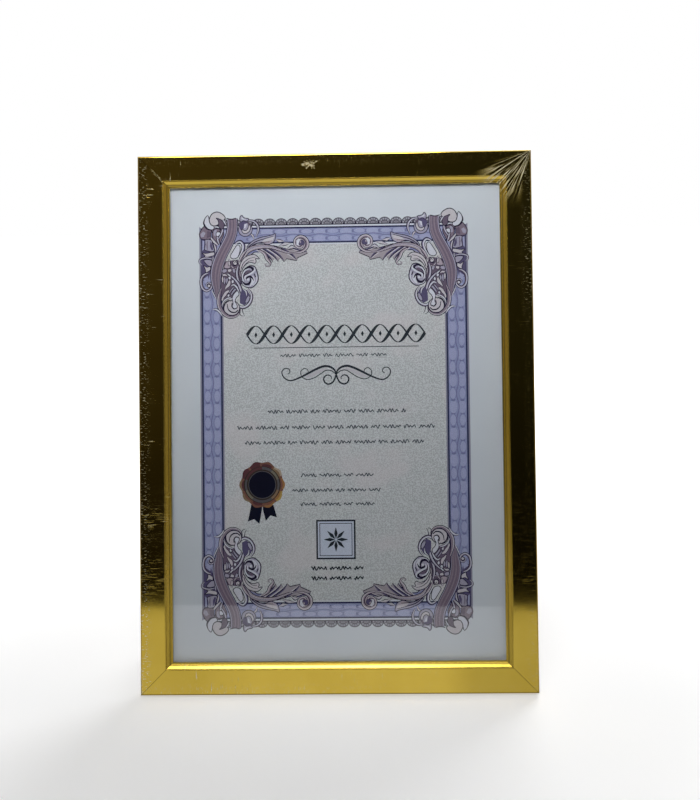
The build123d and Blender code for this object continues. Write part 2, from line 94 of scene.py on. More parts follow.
class Kit:
    """Nodes of one tree, built in short steps."""

    def __init__(self, tree):
        self.tree = tree

    def feed(self, socket, value):
        """Links a socket to an output, or sets its own value."""
        if isinstance(value, bpy.types.NodeSocket):
            self.tree.links.new(value, socket)
        else:
            socket.default_value = value

    def node(self, kind, *inputs, **named):
        """New node with its inputs in order.

        A name with a capital feeds that socket, with _ for a space; another name is a setting.
        """
        made = self.tree.nodes.new("ShaderNode" + kind)
        for socket, value in zip(made.inputs, inputs):
            self.feed(socket, value)
        for key, value in named.items():
            if key[0].isupper():
                self.feed(made.inputs[key.replace("_", " ")], value)
            else:
                setattr(made, key, value)
        return made

    def out(self, kind, *inputs, **named):
        """First output of a new node."""
        return self.node(kind, *inputs, **named).outputs[0]

    def room(self):
        """Coordinates of the object itself, in metres."""
        return self.node("TexCoord").outputs["Object"]

    def place(self, scale=(1, 1, 1)):
        """Coordinates along the panel's own axes, stretched by scale."""
        return self.out("Mapping", self.out("Mapping", self.room(), Rotation=(LEAN, 0, 0)), Scale=scale)

    def noise(self, place, scale, detail=3.0, rough=0.55):
        """Cloudy value from 0 to 1."""
        return self.out("TexNoise", place, Scale=scale, Detail=detail, Roughness=rough)

    def cells(self, place, scale):
        """Random value for each of many small cells."""
        return self.out("SeparateColor", self.node("TexVoronoi", place, Scale=scale).outputs["Color"])

    def span(self, value, low, high, to_low=0.0, to_high=1.0):
        """Value mapped smoothly from one range to another."""
        return self.out("MapRange", value, low, high, to_low, to_high, interpolation_type="SMOOTHSTEP")

    def fold(self, operation, first, *others):
        """Arithmetic on a value and others, one after the other."""
        for other in others:
            first = self.out("Math", first, other, operation=operation)
        return first

    def add(self, *values):
        """Sum of values."""
        return self.fold("ADD", *values)

    def less(self, first, second):
        """First value less the second."""
        return self.fold("SUBTRACT", first, second)

    def times(self, *values):
        """Product of values."""
        return self.fold("MULTIPLY", *values)

    def most(self, *values):
        """Largest of values."""
        return self.fold("MAXIMUM", *values)

    def mean(self, first, second, share):
        """Share of the first value and the rest of the second."""
        return self.add(self.times(first, share), self.times(second, 1 - share))

    def size_of(self, value):
        """Value without its sign."""
        return self.out("Math", value, operation="ABSOLUTE")

    def length(self, vector):
        """Length of a vector."""
        return self.node("VectorMath", vector, operation="LENGTH").outputs["Value"]

    def blend(self, share, first, second):
        """Colour between two colours."""
        made = self.node("Mix", share, data_type="RGBA")
        self.feed(made.inputs[6], first)
        self.feed(made.inputs[7], second)
        return made.outputs[2]

    def seen_rays(self):
        """1 for rays that show the background: camera, mirror and glass rays."""
        path = self.node("LightPath").outputs
        return self.most(path["Is Camera Ray"], path["Is Glossy Ray"], path["Is Transmission Ray"])


class Shader(Kit):
    """Material with one main shader."""

    def __init__(self, name):
        self.material = bpy.data.materials.new(name)
        self.material.use_nodes = True
        super().__init__(self.material.node_tree)
        self.surface = self.tree.nodes["Principled BSDF"]

    def set(self, **inputs):
        """Feeds inputs of the main shader by name, with _ for a space."""
        for key, value in inputs.items():
            self.feed(self.surface.inputs[key.replace("_", " ")], value)

    def bump(self, height, strength, distance):
        """Surface relief from a height value."""
        self.set(Normal=self.out("Bump", Height=height, Strength=strength, Distance=distance))

    def show(self, shader, keep_surface=False):
        """Shows another shader than the main one, which goes unless it is a part of the other."""
        self.feed(self.tree.nodes["Material Output"].inputs["Surface"], shader)
        if not keep_surface:
            self.tree.nodes.remove(self.surface)


def rgb(red, green, blue):
    """Colour socket value from linear parts."""
    return (red, green, blue, 1.0)


WHITE = rgb(1, 1, 1)

# Gold foil: its colours, and places on the moulding measured inwards from its outer edges

GOLD_LIGHT = rgb(0.56, 0.41, 0.07)
GOLD_DEEP = rgb(0.45, 0.31, 0.04)
CORE_PALE = rgb(0.52, 0.45, 0.36)
CORE_DARK = rgb(0.36, 0.30, 0.23)
# Pale matt colour of the painted highlights on ticks and creases
GLINT_PALE = rgb(0.62, 0.57, 0.42)
# Dark colour of the mitre seams and of the painted shade along the bead
DARK_JOINT_AND_SHADE = rgb(0.05, 0.03, 0.01)
SEAM_HALF = 0.12 * MM
# Band near the outer edges that gets painted highlights
GLINT_EDGE_IN = 4.0 * MM
GLINT_EDGE_OUT = 8.0 * MM
LIP_FROM = 14.3 * MM
LIP_TO = 15.0 * MM
LIP_ROUGHNESS = 0.26
# Painted shade: a dark line along the bead, as in a groove
BEAD_SHADE_LINE = 17.5 * MM
BEAD_SHADE_CORE = 0.1 * MM
BEAD_SHADE_HALF = 0.35 * MM

# Depths between which the foil gives way to the bare core at the back
BARE_START = MOULDING_BACK - 0.06 * MM
BARE_FULL = MOULDING_BACK - 0.02 * MM

# Zones in metres along the panel for scuffs and painted highlights: about its middle, the crinkles' start and end,
# and up high
MIDDLE_ZONE = (-0.06, 0.06)
CRINKLE_START = (0.045, 0.065)
CRINKLE_END = (0.1, 0.13)
UPPER_ZONE = (0.19, 0.24)

# Painted highlights of creases over the foil: pleats at the upper right, a knot on the top rail, streaks at the
# upper left
PLEAT_PITCH = 22
PLEAT_FULL = 20 * MM
PLEAT_END = 38 * MM
KNOT_SIDE = -14.0 * MM
KNOT_DROP = 6.6 * MM
KNOT_SQUASH = 1.7
KNOT_LEAST = 1.2 * MM
KNOT_MOST = 6.0 * MM
STREAK_START = 7 * MM
STREAK_FULL = 10 * MM
STREAK_END = 14 * MM
STREAK_DROP = 19 * MM


def inset(made, place, low, high):
    """Distance inwards from the nearer of two opposite outer edges of the panel."""
    return made.less((high - low) / 2, made.size_of(made.less(place, (low + high) / 2)))


def pleats(made, across, up):
    """Painted highlights of folds that fan out from the upper right corner."""
    along = made.less(PANEL_SIDE[1], across)
    down = made.less(PANEL_RISE[1], up)
    angle = made.fold("ARCTAN2", down, along)
    far = made.length(made.out("CombineXYZ", along, down))
    fan = made.out("CombineXYZ", angle, made.times(far, 2.0))
    rays = made.span(made.noise(fan, PLEAT_PITCH, 2.0), 0.48, 0.6)
    fading = made.span(far, PLEAT_FULL, PLEAT_END, 0.9, 0.0)
    opened = made.times(made.span(angle, 0.25, 0.45), made.span(angle, 1.2, 1.4, 1.0, 0.0))
    return made.times(rays, made.times(fading, opened))


def knot(made, across, up):
    """Painted highlights of a small star of creases near the middle of the top rail."""
    along = made.less(across, KNOT_SIDE)
    above = made.less(up, PANEL_RISE[1] - KNOT_DROP)
    offset = made.out("CombineXYZ", along, made.times(above, KNOT_SQUASH))
    way = made.out("VectorMath", offset, operation="NORMALIZE")
    reached = made.span(made.noise(way, 2.4, 2.0), 0.38, 0.62, KNOT_LEAST, KNOT_MOST)
    star = made.span(made.less(made.length(offset), reached), -1.2 * MM, 0.2 * MM, 1.0, 0.0)
    return made.times(star, made.span(made.noise(offset, 520, 2.0), 0.4, 0.6, 0.2, 0.85))


def mitre_streaks(made, across, up, apart):
    """Painted pale highlights: streaks along the inner half of the upper left mitre."""
    left = PANEL_SIDE[0]
    top = PANEL_RISE[1]
    starts = made.span(across, left + STREAK_START, left + STREAK_FULL)
    ends = made.span(across, left + STREAK_END + MM, left + STREAK_END)
    upper = made.span(up, top - STREAK_DROP - MM, top - STREAK_DROP)
    streak = made.span(made.noise(made.place(), 1500, 2.0), 0.5, 0.62)
    near = made.span(apart, 0.4 * MM, 1.4 * MM, 0.7, 0.0)
    return made.times(made.times(ends, starts, upper), made.times(streak, near))


def gold_foil(name, along_up):
    """Mirror foil with creases, dark mitre seams, painted highlights of pale ticks, and painted shade along the
    bead; the bare core shows on the back.
    """
    made = Shader(name)

    def stretched(fine, coarse):
        return made.place((coarse, coarse, fine) if along_up else (fine, coarse, coarse))

    place = made.place()
    across, depth, up = made.node("SeparateXYZ", place).outputs
    side = inset(made, across, *PANEL_SIDE)
    rise = inset(made, up, *PANEL_RISE)
    inwards = side if along_up else rise
    apart = made.size_of(made.less(side, rise))
    cloud = made.noise(place, 28)
    creases = made.noise(stretched(1900, 130), 1.0, 2.0)

    # Masks for real scuffs and for painted highlights: patches, most of them to the left, and crinkles low on the
    # uprights; the outer edges get painted highlights only
    leftward = made.span(across, *MIDDLE_ZONE, 1.0, 0.25)
    patches = made.times(leftward, made.span(made.noise(place, 46, 4.0), 0.48, 0.64))
    crinkled = made.times(made.span(up, *CRINKLE_START), made.span(up, *CRINKLE_END, 1.0, 0.0))
    crinkled = made.times(crinkled, made.span(across, *MIDDLE_ZONE, 1.0, 0.6))
    scuffs = made.most(patches, made.times(crinkled, 0.35))
    scuffs = made.times(scuffs, made.span(creases, 0.5, 0.75))
    edge_glint_share = made.times(leftward, 1.0 if along_up else 0.3)
    upper_glint_share = made.span(up, *UPPER_ZONE, 0.0, 0.8 if along_up else 0.3)
    edge_glints = made.span(inwards, GLINT_EDGE_IN, GLINT_EDGE_OUT, 1.0, 0.0)
    edge_glints = made.times(edge_glints, made.most(edge_glint_share, upper_glint_share))

    # Painted highlights: pale ticks and creases on the foil, in a pale matt colour
    long_ticks = made.times(patches, made.span(creases, 0.64, 0.72))
    short_ticks = made.span(made.noise(stretched(1900, 420), 1.0, 1.0), 0.6, 0.68)
    fine_ticks = made.times(crinkled, made.span(creases, 0.5, 0.7, 0.0, 0.2))
    tick_glints = made.most(long_ticks, made.times(edge_glints, short_ticks), fine_ticks)
    crease_glints = made.most(pleats(made, across, up), knot(made, across, up))
    crease_glints = made.most(crease_glints, mitre_streaks(made, across, up, apart))
    foil = made.blend(cloud, GOLD_DEEP, GOLD_LIGHT)
    glinted_foil = made.blend(made.most(tick_glints, crease_glints), foil, GLINT_PALE)

    # Bare back, mitre seams and the painted shade of a dark line along the bead
    core = made.blend(made.noise(place, 2600, 2.0), CORE_DARK, CORE_PALE)
    bare = made.span(depth, BARE_START, BARE_FULL)
    seam_and_shade = made.fold("DIVIDE", apart, made.add(bare, 1.0))
    seam_and_shade = made.span(seam_and_shade, SEAM_HALF, 2 * SEAM_HALF, 0.8, 0.0)
    off_shade_line = made.size_of(made.less(inwards, BEAD_SHADE_LINE))
    seam_and_shade = made.most(seam_and_shade, made.span(off_shade_line, BEAD_SHADE_CORE, BEAD_SHADE_HALF, 0.55, 0.0))
    made.set(Base_Color=made.blend(seam_and_shade, made.blend(bare, glinted_foil, core), DARK_JOINT_AND_SHADE))

    dull = made.most(bare, made.times(tick_glints, 0.4), made.times(crease_glints, 0.9))
    made.set(Metallic=made.less(1.0, dull))
    lip = made.span(inwards, LIP_FROM, LIP_TO, 0.0, LIP_ROUGHNESS)
    shine = made.most(made.span(scuffs, 0.0, 1.0, 0.06, 0.22), lip)
    made.set(Roughness=made.add(shine, made.times(bare, 0.6)))
    streaks = made.noise(stretched(14, 900), 1.0, 2.0)
    relief = made.add(made.times(scuffs, 0.9), made.times(streaks, 0.16), made.times(cloud, 1.4))
    made.bump(relief, 0.32, 0.06 * MM)
    return made.material


# Finishes of the other pieces


def clear_glass():
    """Clear pane that mirrors a little at its front."""
    made = Shader("clear_glass")
    specks = made.span(made.noise(made.place(), 900, 2.0), 0.7, 0.8)
    tint = made.blend(specks, WHITE, rgb(0.9, 0.92, 0.93))
    clear = made.out("BsdfTransparent", rgb(0.985, 0.99, 0.988))
    mirror = made.out("BsdfGlossy", Color=tint, Roughness=0.015)
    behind = made.node("NewGeometry").outputs["Backfacing"]
    share = made.times(made.out("Fresnel", 1.71), made.less(1.0, behind))
    made.show(made.out("MixShader", share, clear, mirror))
    return made.material


def hardboard():
    """Brown fibre board with pressed fibres and specks."""
    made = Shader("hardboard")
    place = made.place()
    fibres = made.noise(made.place((240, 240, 1400)), 1.0, 4.0, 0.65)
    cloud = made.noise(place, 60, 4.0)
    tone = made.mean(fibres, cloud, 0.6)
    board = made.blend(made.span(tone, 0.32, 0.68), rgb(0.16, 0.09, 0.045), rgb(0.33, 0.205, 0.115))
    specks = made.span(made.noise(place, 1500, 2.0), 0.66, 0.74)
    made.set(Base_Color=made.blend(specks, board, rgb(0.09, 0.05, 0.028)))
    made.set(Roughness=made.span(cloud, 0.3, 0.7, 0.55, 0.78))
    made.bump(tone, 0.35, 0.08 * MM)
    return made.material


def plated(name, pale, dark, shine, spangle):
    """Plated steel with faint crystal cells and drawn marks."""
    made = Shader(name)
    marks = made.noise(made.place((2600, 300, 300)), 1.0, 2.0)
    tone = made.mean(made.cells(made.place(), spangle), marks, 0.6)
    made.set(Base_Color=made.blend(tone, dark, pale), Metallic=1.0)
    made.set(Roughness=made.span(tone, 0.1, 0.9, shine, shine + 0.16))
    made.bump(marks, 0.12, 0.02 * MM)
    return made.material


def grey_card():
    """Raw grey board with flecks."""
    made = Shader("grey_card")
    flecks = made.noise(made.place(), 1300, 3.0)
    made.set(Base_Color=made.blend(flecks, rgb(0.33, 0.31, 0.28), rgb(0.5, 0.48, 0.44)), Roughness=0.9)
    made.bump(flecks, 0.3, 0.05 * MM)
    return made.material


# Paper and inks: an ink keeps a share of the paper's red, green and blue light

PAPER_TONE = (0.58, 0.617, 0.675)
INK_SHARES = {
    "field": (0.985, 0.96, 0.915),
    "soft_line": (0.40, 0.37, 0.46),
    "white_line": (1.02, 1.0, 1.02),
    "navy": (0.055, 0.058, 0.125),
    "band": (0.44, 0.45, 0.69),
    "band_pale": (0.57, 0.57, 0.80),
    "band_edge": (0.36, 0.36, 0.58),
    "band_line": (0.30, 0.30, 0.49),
    "lace": (0.16, 0.14, 0.17),
    "lace_pale": (0.58, 0.54, 0.58),
    "outline": (0.03, 0.022, 0.05),
    "ribbon": (0.34, 0.25, 0.305),
    "ribbon_pale": (0.50, 0.385, 0.44),
    "ribbon_dark": (0.22, 0.16, 0.22),
    "lilac": (0.58, 0.52, 0.63),
    "shade": (0.16, 0.13, 0.24),
    "cream": (0.90, 0.805, 0.81),
    "rose": (0.66, 0.53, 0.57),
    "blush": (0.80, 0.73, 0.73),
    "leaf": (0.56, 0.475, 0.49),
    "pale": (1.0, 0.96, 1.0),
    "black": (0.045, 0.05, 0.06),
    "grey_ink": (0.13, 0.135, 0.15),
    "box_pale": (0.86, 0.88, 0.98),
    "seal_navy": (0.012, 0.013, 0.03),
    "seal_line": (0.07, 0.05, 0.04),
    "seal_grey": (0.15, 0.135, 0.14),
    "seal_pale": (0.27, 0.235, 0.17),
    "seal_brown": (0.36, 0.22, 0.13),
    "copper_deep": (0.16, 0.06, 0.065),
    "copper": (0.29, 0.125, 0.09),
    "gold_deep": (0.48, 0.22, 0.085),
    "gold_bright": (0.62, 0.40, 0.11),
    "tan": (0.62, 0.46, 0.33),
}


def tone_of(shares, factors=(1.0, 1.0, 1.0)):
    """Colour of an ink on the paper, from the shares of light that it keeps."""
    return rgb(*[tone * (share * factor) for tone, share, factor in zip(PAPER_TONE, shares, factors)])


def paper():
    """Matt paper with fibres."""
    made = Shader("paper")
    place = made.place()
    fibres = made.noise(place, 1700, 4.0, 0.7)
    tone = made.span(made.mean(fibres, made.noise(place, 22), 0.5), 0.3, 0.7)
    colour = made.blend(tone, tone_of((0.965, 0.965, 0.975)), tone_of((1.035, 1.035, 1.025)))
    made.set(Base_Color=colour, Roughness=0.8, Specular_IOR_Level=0.0)
    made.bump(fibres, 0.1, 0.02 * MM)
    return made.material


def ink(name):
    """Printed ink: mottled, with a fine maze of lines and faint tints on the field."""
    made = Shader("ink_" + name)
    shares = INK_SHARES[name]
    place = made.place()
    mottle = made.span(made.noise(place, 1900, 3.0, 0.7), 0.3, 0.7)
    colour = made.blend(mottle, tone_of(shares, [0.92] * 3), tone_of(shares, [1.08] * 3))
    if name == "field":
        maze = made.span(made.noise(place, 1200, 1.0), 0.42, 0.58)
        colour = made.blend(made.times(maze, 0.75), colour, tone_of(shares, [0.66] * 3))
        blush = made.span(made.noise(place, 26, 2.0), 0.5, 0.66)
        colour = made.blend(made.times(blush, 0.5), colour, tone_of(shares, (1.03, 0.93, 0.94)))
    made.set(Base_Color=colour, Roughness=0.75, Specular_IOR_Level=0.0)
    return made.material


INKS = {name: ink(name) for name in INK_SHARES}


# Print kit: flat shapes in mm, cut into one sheet of faces with no overlap

CUT_MERGE = 1e-5
LEAST_AREA = 1e-3
RIM = 0.45
RIM_SHARE = 0.4
BALL_CORNERS = 26


def sides_of(outline):
    """Pairs of neighbouring points round a closed outline."""
    return zip(outline, outline[1:] + outline[:1])


def inside(point, outline):
    """Whether a point lies within a closed outline."""
    x, y = point
    found = False
    for (x0, y0), (x1, y1) in sides_of(outline):
        if (y0 > y) != (y1 > y) and x < x0 + (x1 - x0) * (y - y0) / (y1 - y0):
            found = not found
    return found


class Plate:
    """Inked shapes on one print level; a later shape covers an earlier one."""

    def __init__(self):
        self.points = []
        self.faces = []
        self.outlines = []
        self.inks = []

    def polygon(self, outline, ink_name):
        """One closed shape that doesn't cross itself."""
        area = sum(x0 * y1 - x1 * y0 for (x0, y0), (x1, y1) in sides_of(outline))
        if abs(area) < LEAST_AREA:
            return
        first = len(self.points)
        self.points += [Vector(point) for point in outline]
        order = list(range(first, first + len(outline)))
        self.faces.append(order if area > 0 else order[::-1])
        self.outlines.append(outline)
        self.inks.append(ink_name)

    def lanes(self, rows, ink_names):
        """Strip of lanes side by side: rows of points across it, and one ink for each lane."""
        for near, far in zip(rows, rows[1:]):
            for lane, ink_name in enumerate(ink_names):
                a, b = near[lane], near[lane + 1]
                c, d = far[lane + 1], far[lane]
                self.polygon([a, b, c], ink_name)
                self.polygon([a, c, d], ink_name)

    def cut(self):
        """Points, faces and inks with every hidden piece cut away."""
        points, _, pieces, _, _, owners = delaunay_2d_cdt(self.points, [], self.faces, 1, CUT_MERGE, True)
        faces = []
        inks = []
        for piece, covers in zip(pieces, owners):
            middle = sum((points[index] for index in piece), Vector((0, 0))) / len(piece)
            for cover in sorted(covers, reverse=True):
                if inside(middle, self.outlines[cover]):
                    faces.append(piece)
                    inks.append(self.inks[cover])
                    break
        return points, faces, inks


def circle(centre, radius, count, squash=1.0, turn=0.0):
    """Round or oval outline."""
    tilt = math.radians(turn)
    points = []
    for step in range(count):
        angle = 2 * math.pi * step / count
        x = radius * math.cos(angle)
        y = radius * squash * math.sin(angle)
        across = x * math.cos(tilt) - y * math.sin(tilt)
        along = x * math.sin(tilt) + y * math.cos(tilt)
        points.append((centre[0] + across, centre[1] + along))
    return points


def box_outline(low, high):
    """Rectangle from two corners."""
    return [(low[0], low[1]), (high[0], low[1]), (high[0], high[1]), (low[0], high[1])]


def smooth(values, share, index):
    """Catmull-Rom value between values index and index + 1."""
    p1 = values[index]
    p2 = values[index + 1]
    p0 = values[index - 1] if index else 2 * p1 - p2
    p3 = values[index + 2] if index + 2 < len(values) else 2 * p2 - p1
    a = 2 * p1
    b = p2 - p0
    c = 2 * p0 - 5 * p1 + 4 * p2 - p3
    d = 3 * p1 - p0 - 3 * p2 + p3
    return 0.5 * (a + b * share + c * share**2 + d * share**3)


def spread(values, count):
    """A short list of values stretched evenly over count places."""
    made = []
    for index in range(count):
        place = index * (len(values) - 1) / (count - 1)
        low = min(int(place), len(values) - 2)
        made.append(values[low] + (values[low + 1] - values[low]) * (place - low))
    return made


def curve(points, widths, parts):
    """Smooth centre line with the direction across it and the half-width at each place."""
    xs = [point[0] for point in points]
    ys = [point[1] for point in points]
    sizes = spread(widths, len(points))
    places = []
    for index in range(len(points) - 1):
        for part in range(parts):
            share = part / parts
            width = sizes[index] + (sizes[index + 1] - sizes[index]) * share
            places.append((smooth(xs, share, index), smooth(ys, share, index), width))
    places.append((xs[-1], ys[-1], sizes[-1]))
    rows = []
    for index, (x, y, width) in enumerate(places):
        before = places[max(index - 1, 0)]
        after = places[min(index + 1, len(places) - 1)]
        run = math.hypot(after[0] - before[0], after[1] - before[1]) or 1.0
        across = (-(after[1] - before[1]) / run, (after[0] - before[0]) / run)
        rows.append(((x, y), across, width))
    return rows


def line(plate, points, widths, ink_name, parts=4):
    """Line of one ink along a smooth path; widths are half-widths in mm, spread along it."""
    rows = []
    for (x, y), across, width in curve(points, widths, parts):
        rows.append([(x + across[0] * side * width, y + across[1] * side * width) for side in (-1, 1)])
    plate.lanes(rows, [ink_name])


def stroke(plate, points, widths, fill):
    """Engraved stroke with dark rims: fill gives inks with the share of the width where each ends."""
    rows = []
    for (x, y), across, width in curve(points, widths, 4):
        inner = width - min(RIM, RIM_SHARE * width)
        offsets = [-width, -inner] + [inner * end for _, end in fill] + [width]
        rows.append([(x + across[0] * offset, y + across[1] * offset) for offset in offsets])
    plate.lanes(rows, ["outline"] + [name for name, _ in fill] + ["outline"])


def patch(plate, points, ink_name, rim=RIM):
    """Closed smooth shape with a dark rim."""
    ring = points[-1:] + points + points[:2]
    xs = [point[0] for point in ring]
    ys = [point[1] for point in ring]
    parts = 3
    outline = []
    for index in range(1, len(points) + 1):
        for part in range(parts):
            outline.append((smooth(xs, part / parts, index), smooth(ys, part / parts, index)))
    plate.polygon(outline, ink_name)
    line(plate, outline + outline[:2], [rim / 2, rim / 2], "outline", 1)


def ball(plate, centre, radius, ink_name):
    """Disc with a dark rim."""
    plate.polygon(circle(centre, radius, BALL_CORNERS), "outline")
    plate.polygon(circle(centre, radius - RIM, BALL_CORNERS), ink_name)


def fill_of(words):
    """Fill of a stroke from one edge to the other: inks, each with the share of the width where it ends."""
    words = words.split()
    return [(name, float(end)) for name, end in zip(words[::2], words[1::2])]


FILLS = {
    "cream": fill_of("lilac -0.5 cream 1"),
    "pale": fill_of("lilac -0.5 pale 1"),
    "rose": fill_of("ribbon -0.4 rose 0.3 cream 1"),
    "lilac": fill_of("ribbon_dark -0.6 lilac 0 pale 0.5 lilac 1"),
    "mauve": fill_of("ribbon -0.4 lilac 0 pale 0.5 lilac 1"),
    "scroll": fill_of("ribbon_dark -0.5 lilac -0.1 pale 1"),
    "loop": fill_of("shade -0.4 lilac -0.1 pale 1"),
    "shell": fill_of(
        "shade -0.82 ribbon -0.5 rose -0.36 ribbon 0 ribbon_dark 0.12 rose 0.4 ribbon_dark 0.5 cream 1"
    ),
    "veined": fill_of("rose -0.5 outline -0.4 lilac -0.05 outline 0.05 cream 0.45 outline 0.54 rose 1"),
    "ribbon": fill_of(
        "lilac -0.88 ribbon_dark -0.8 ribbon -0.58 ribbon_pale -0.48 ribbon -0.26 ribbon_dark -0.17"
        " ribbon 0.04 ribbon_pale 0.14 ribbon 0.36 ribbon_dark 0.45 ribbon 0.7 ribbon_dark 0.78 lilac 1"
    ),
}


def draw(plate, drawing, parts=4, side=1, base=0.0):
    """Draws rows of kind, ink or fill, and sizes, then a colon and points u,v in mm.

    Sizes are half-widths along a line or stroke, a patch's rim, a ball's radius, or a disc's
    radius and count of corners. Side -1 mirrors the points, and base lifts them.
    """
    for row in drawing.strip().splitlines():
        head, places = row.split(":")
        kind, name, *sizes = head.split()
        sizes = [float(size) for size in sizes]
        points = []
        for place in places.split():
            u, v = place.split(",")
            points.append((side * float(u), base + float(v)))
        if kind == "stroke":
            stroke(plate, points, sizes, FILLS[name])
        elif kind == "line":
            line(plate, points, sizes, name, parts)
        elif kind == "patch":
            patch(plate, points, name, *sizes)
        elif kind == "ball":
            ball(plate, points[0], sizes[0], name)
        elif kind == "disc":
            plate.polygon(circle(points[0], sizes[0], int(sizes[1])), name)
        else:
            plate.polygon(points, name)


# Pieces of the scene


def add_piece(name, made, materials, body, replaced=None):
    """Turns a bmesh into a piece that rides a body, and that may stand for a CAD node."""
    mesh = bpy.data.meshes.new(name)
    made.to_mesh(mesh)
    made.free()
    for material in materials:
        mesh.materials.append(material)
    piece = bpy.data.objects.new(name, mesh)
    bpy.context.scene.collection.objects.link(piece)
    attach(piece, body)
    if replaced:
        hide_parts(replaced)


def print_piece(name, level, shapes):
    """Printed faces: shapes are cut plates with a mirror and a place for each copy."""
    used = {ink_name for (_, _, inks), _, _ in shapes for ink_name in inks}
    names = [ink_name for ink_name in INKS if ink_name in used]
    made = bmesh.new()
    for (points, faces, inks), (mirror_u, mirror_v), (shift_u, shift_v) in shapes:
        corners = []
        for point in points:
            place = on_sheet(shift_u + mirror_u * point[0], shift_v + mirror_v * point[1], level)
            corners.append(made.verts.new(place))
        for face, ink_name in zip(faces, inks):
            order = face if mirror_u * mirror_v > 0 else face[::-1]
            printed = made.faces.new([corners[index] for index in order])
            printed.material_index = names.index(ink_name)
    bmesh.ops.dissolve_limit(
        made, angle_limit=math.radians(1), verts=made.verts, edges=made.edges, delimit={"MATERIAL"}
    )
    loose = [vertex for vertex in made.verts if not vertex.link_faces]
    bmesh.ops.delete(made, geom=loose, context="VERTS")
    add_piece(name, made, [INKS[ink_name] for ink_name in names], "frame")


def certificate_sheet():
    """Paper slab behind the pane, in the room of the CAD sheet."""
    made = bmesh.new()
    corners = []
    for depth in (PAPER_FRONT, PAPER_BACK):
        for u, v in ((0, 0), (1, 0), (1, 1), (0, 1)):
            corners.append(made.verts.new(RIGHT * SHEET_SIDE[u] + UP * SHEET_RISE[v] + BACK * depth))
    for order in ((0, 1, 2, 3), (7, 6, 5, 4), (0, 4, 5, 1), (1, 5, 6, 2), (2, 6, 7, 3), (3, 7, 4, 0)):
        made.faces.new([corners[index] for index in order])
    add_piece("certificate_paper", made, [paper()], "frame", "certificate_sheet")


# Border of the print, in mm from its own centre

PRINT_CENTRE = (-1.0, 0.5)
BORDER_HALF_WIDTH = 80.2
BORDER_HALF_HEIGHT = 118.3
SIDE_BAND = 11.6
END_BAND = 9.0
DARK_HALF = 0.5
SOFT_LINE = 1.0
FIELD_LINE = 0.8
CHAIN_PERIOD = 16.1
CHAIN_STEP = 2.0
CHAIN_SWAY = 0.07
CELL_CORNERS = 24
LACE_PITCH = 7.0
LACE_HEIGHT = 4.4
LACE_FOOT = 0.55
LACE_RIBS = 6
ARCH_PARTS = 14
ARCH_START = -18
ARCH_TURN = 216
LACE_ARCHES = ((1.0, "lace"), (0.86, "lace_pale"), (0.6, "lace"), (0.46, "lace_pale"))
LACE_GUSSET = ((-1.3, 0), (1.3, 0), (0.3, 2.2), (-0.3, 2.2))

# Cells: place along in mm, across in shares of the band's width, half length, half width and ink
LINK_CELLS = (
    (-3.9, 0.24, 0.9, 0.11, "band_line"),
    (3.9, 0.24, 0.9, 0.11, "band_line"),
    (0.0, 0.25, 3.8, 0.19, "band_edge"),
    (0.0, 0.25, 3.3, 0.155, "band_pale"),
)
BARREL_CELL = (CHAIN_PERIOD / 2, 0.23, 4.0, 0.2, "band_pale")


def frame_line(plate, half_u, half_v, width, side_ink, end_ink):
    """Rectangular line about the print's centre, from its outer edge inwards."""
    outer = box_outline((-half_u, -half_v), (half_u, half_v))
    inner = box_outline((width - half_u, width - half_v), (half_u - width, half_v - width))
    for side in range(4):
        after = (side + 1) % 4
        ink_name = side_ink if side % 2 else end_ink
        plate.polygon([outer[side], outer[after], inner[after], inner[side]], ink_name)


def chain(plate, length, width, along_u, centre):
    """Two rows of linked ovals and barrels along a band, with a waving line between them."""

    def placed(along, across):
        if along_u:
            return (centre[0] + along, centre[1] + across)
        return (centre[0] + across, centre[1] + along)

    def cell(start, row, along, across, half_length, half_width, ink_name):
        middle = placed(start + along, row * across * width)
        squash = half_width * width / half_length
        plate.polygon(circle(middle, half_length, CELL_CORNERS, squash, 0 if along_u else 90), ink_name)

    pairs = int(length / CHAIN_PERIOD / 2)
    for row in (-1, 1):
        for pair in range(-pairs, pairs + 1):
            start = pair * CHAIN_PERIOD
            for link in LINK_CELLS:
                cell(start, row, *link)
            if abs(start) + CHAIN_PERIOD / 2 < length / 2:
                cell(start, row, *BARREL_CELL)
    steps = int(length / CHAIN_STEP)
    points = []
    for step in range(steps + 1):
        along = (step / steps - 0.5) * length
        points.append(placed(along, -CHAIN_SWAY * width * math.cos(2 * math.pi * along / CHAIN_PERIOD)))
    line(plate, points, [0.3, 0.3], "band_line", 1)


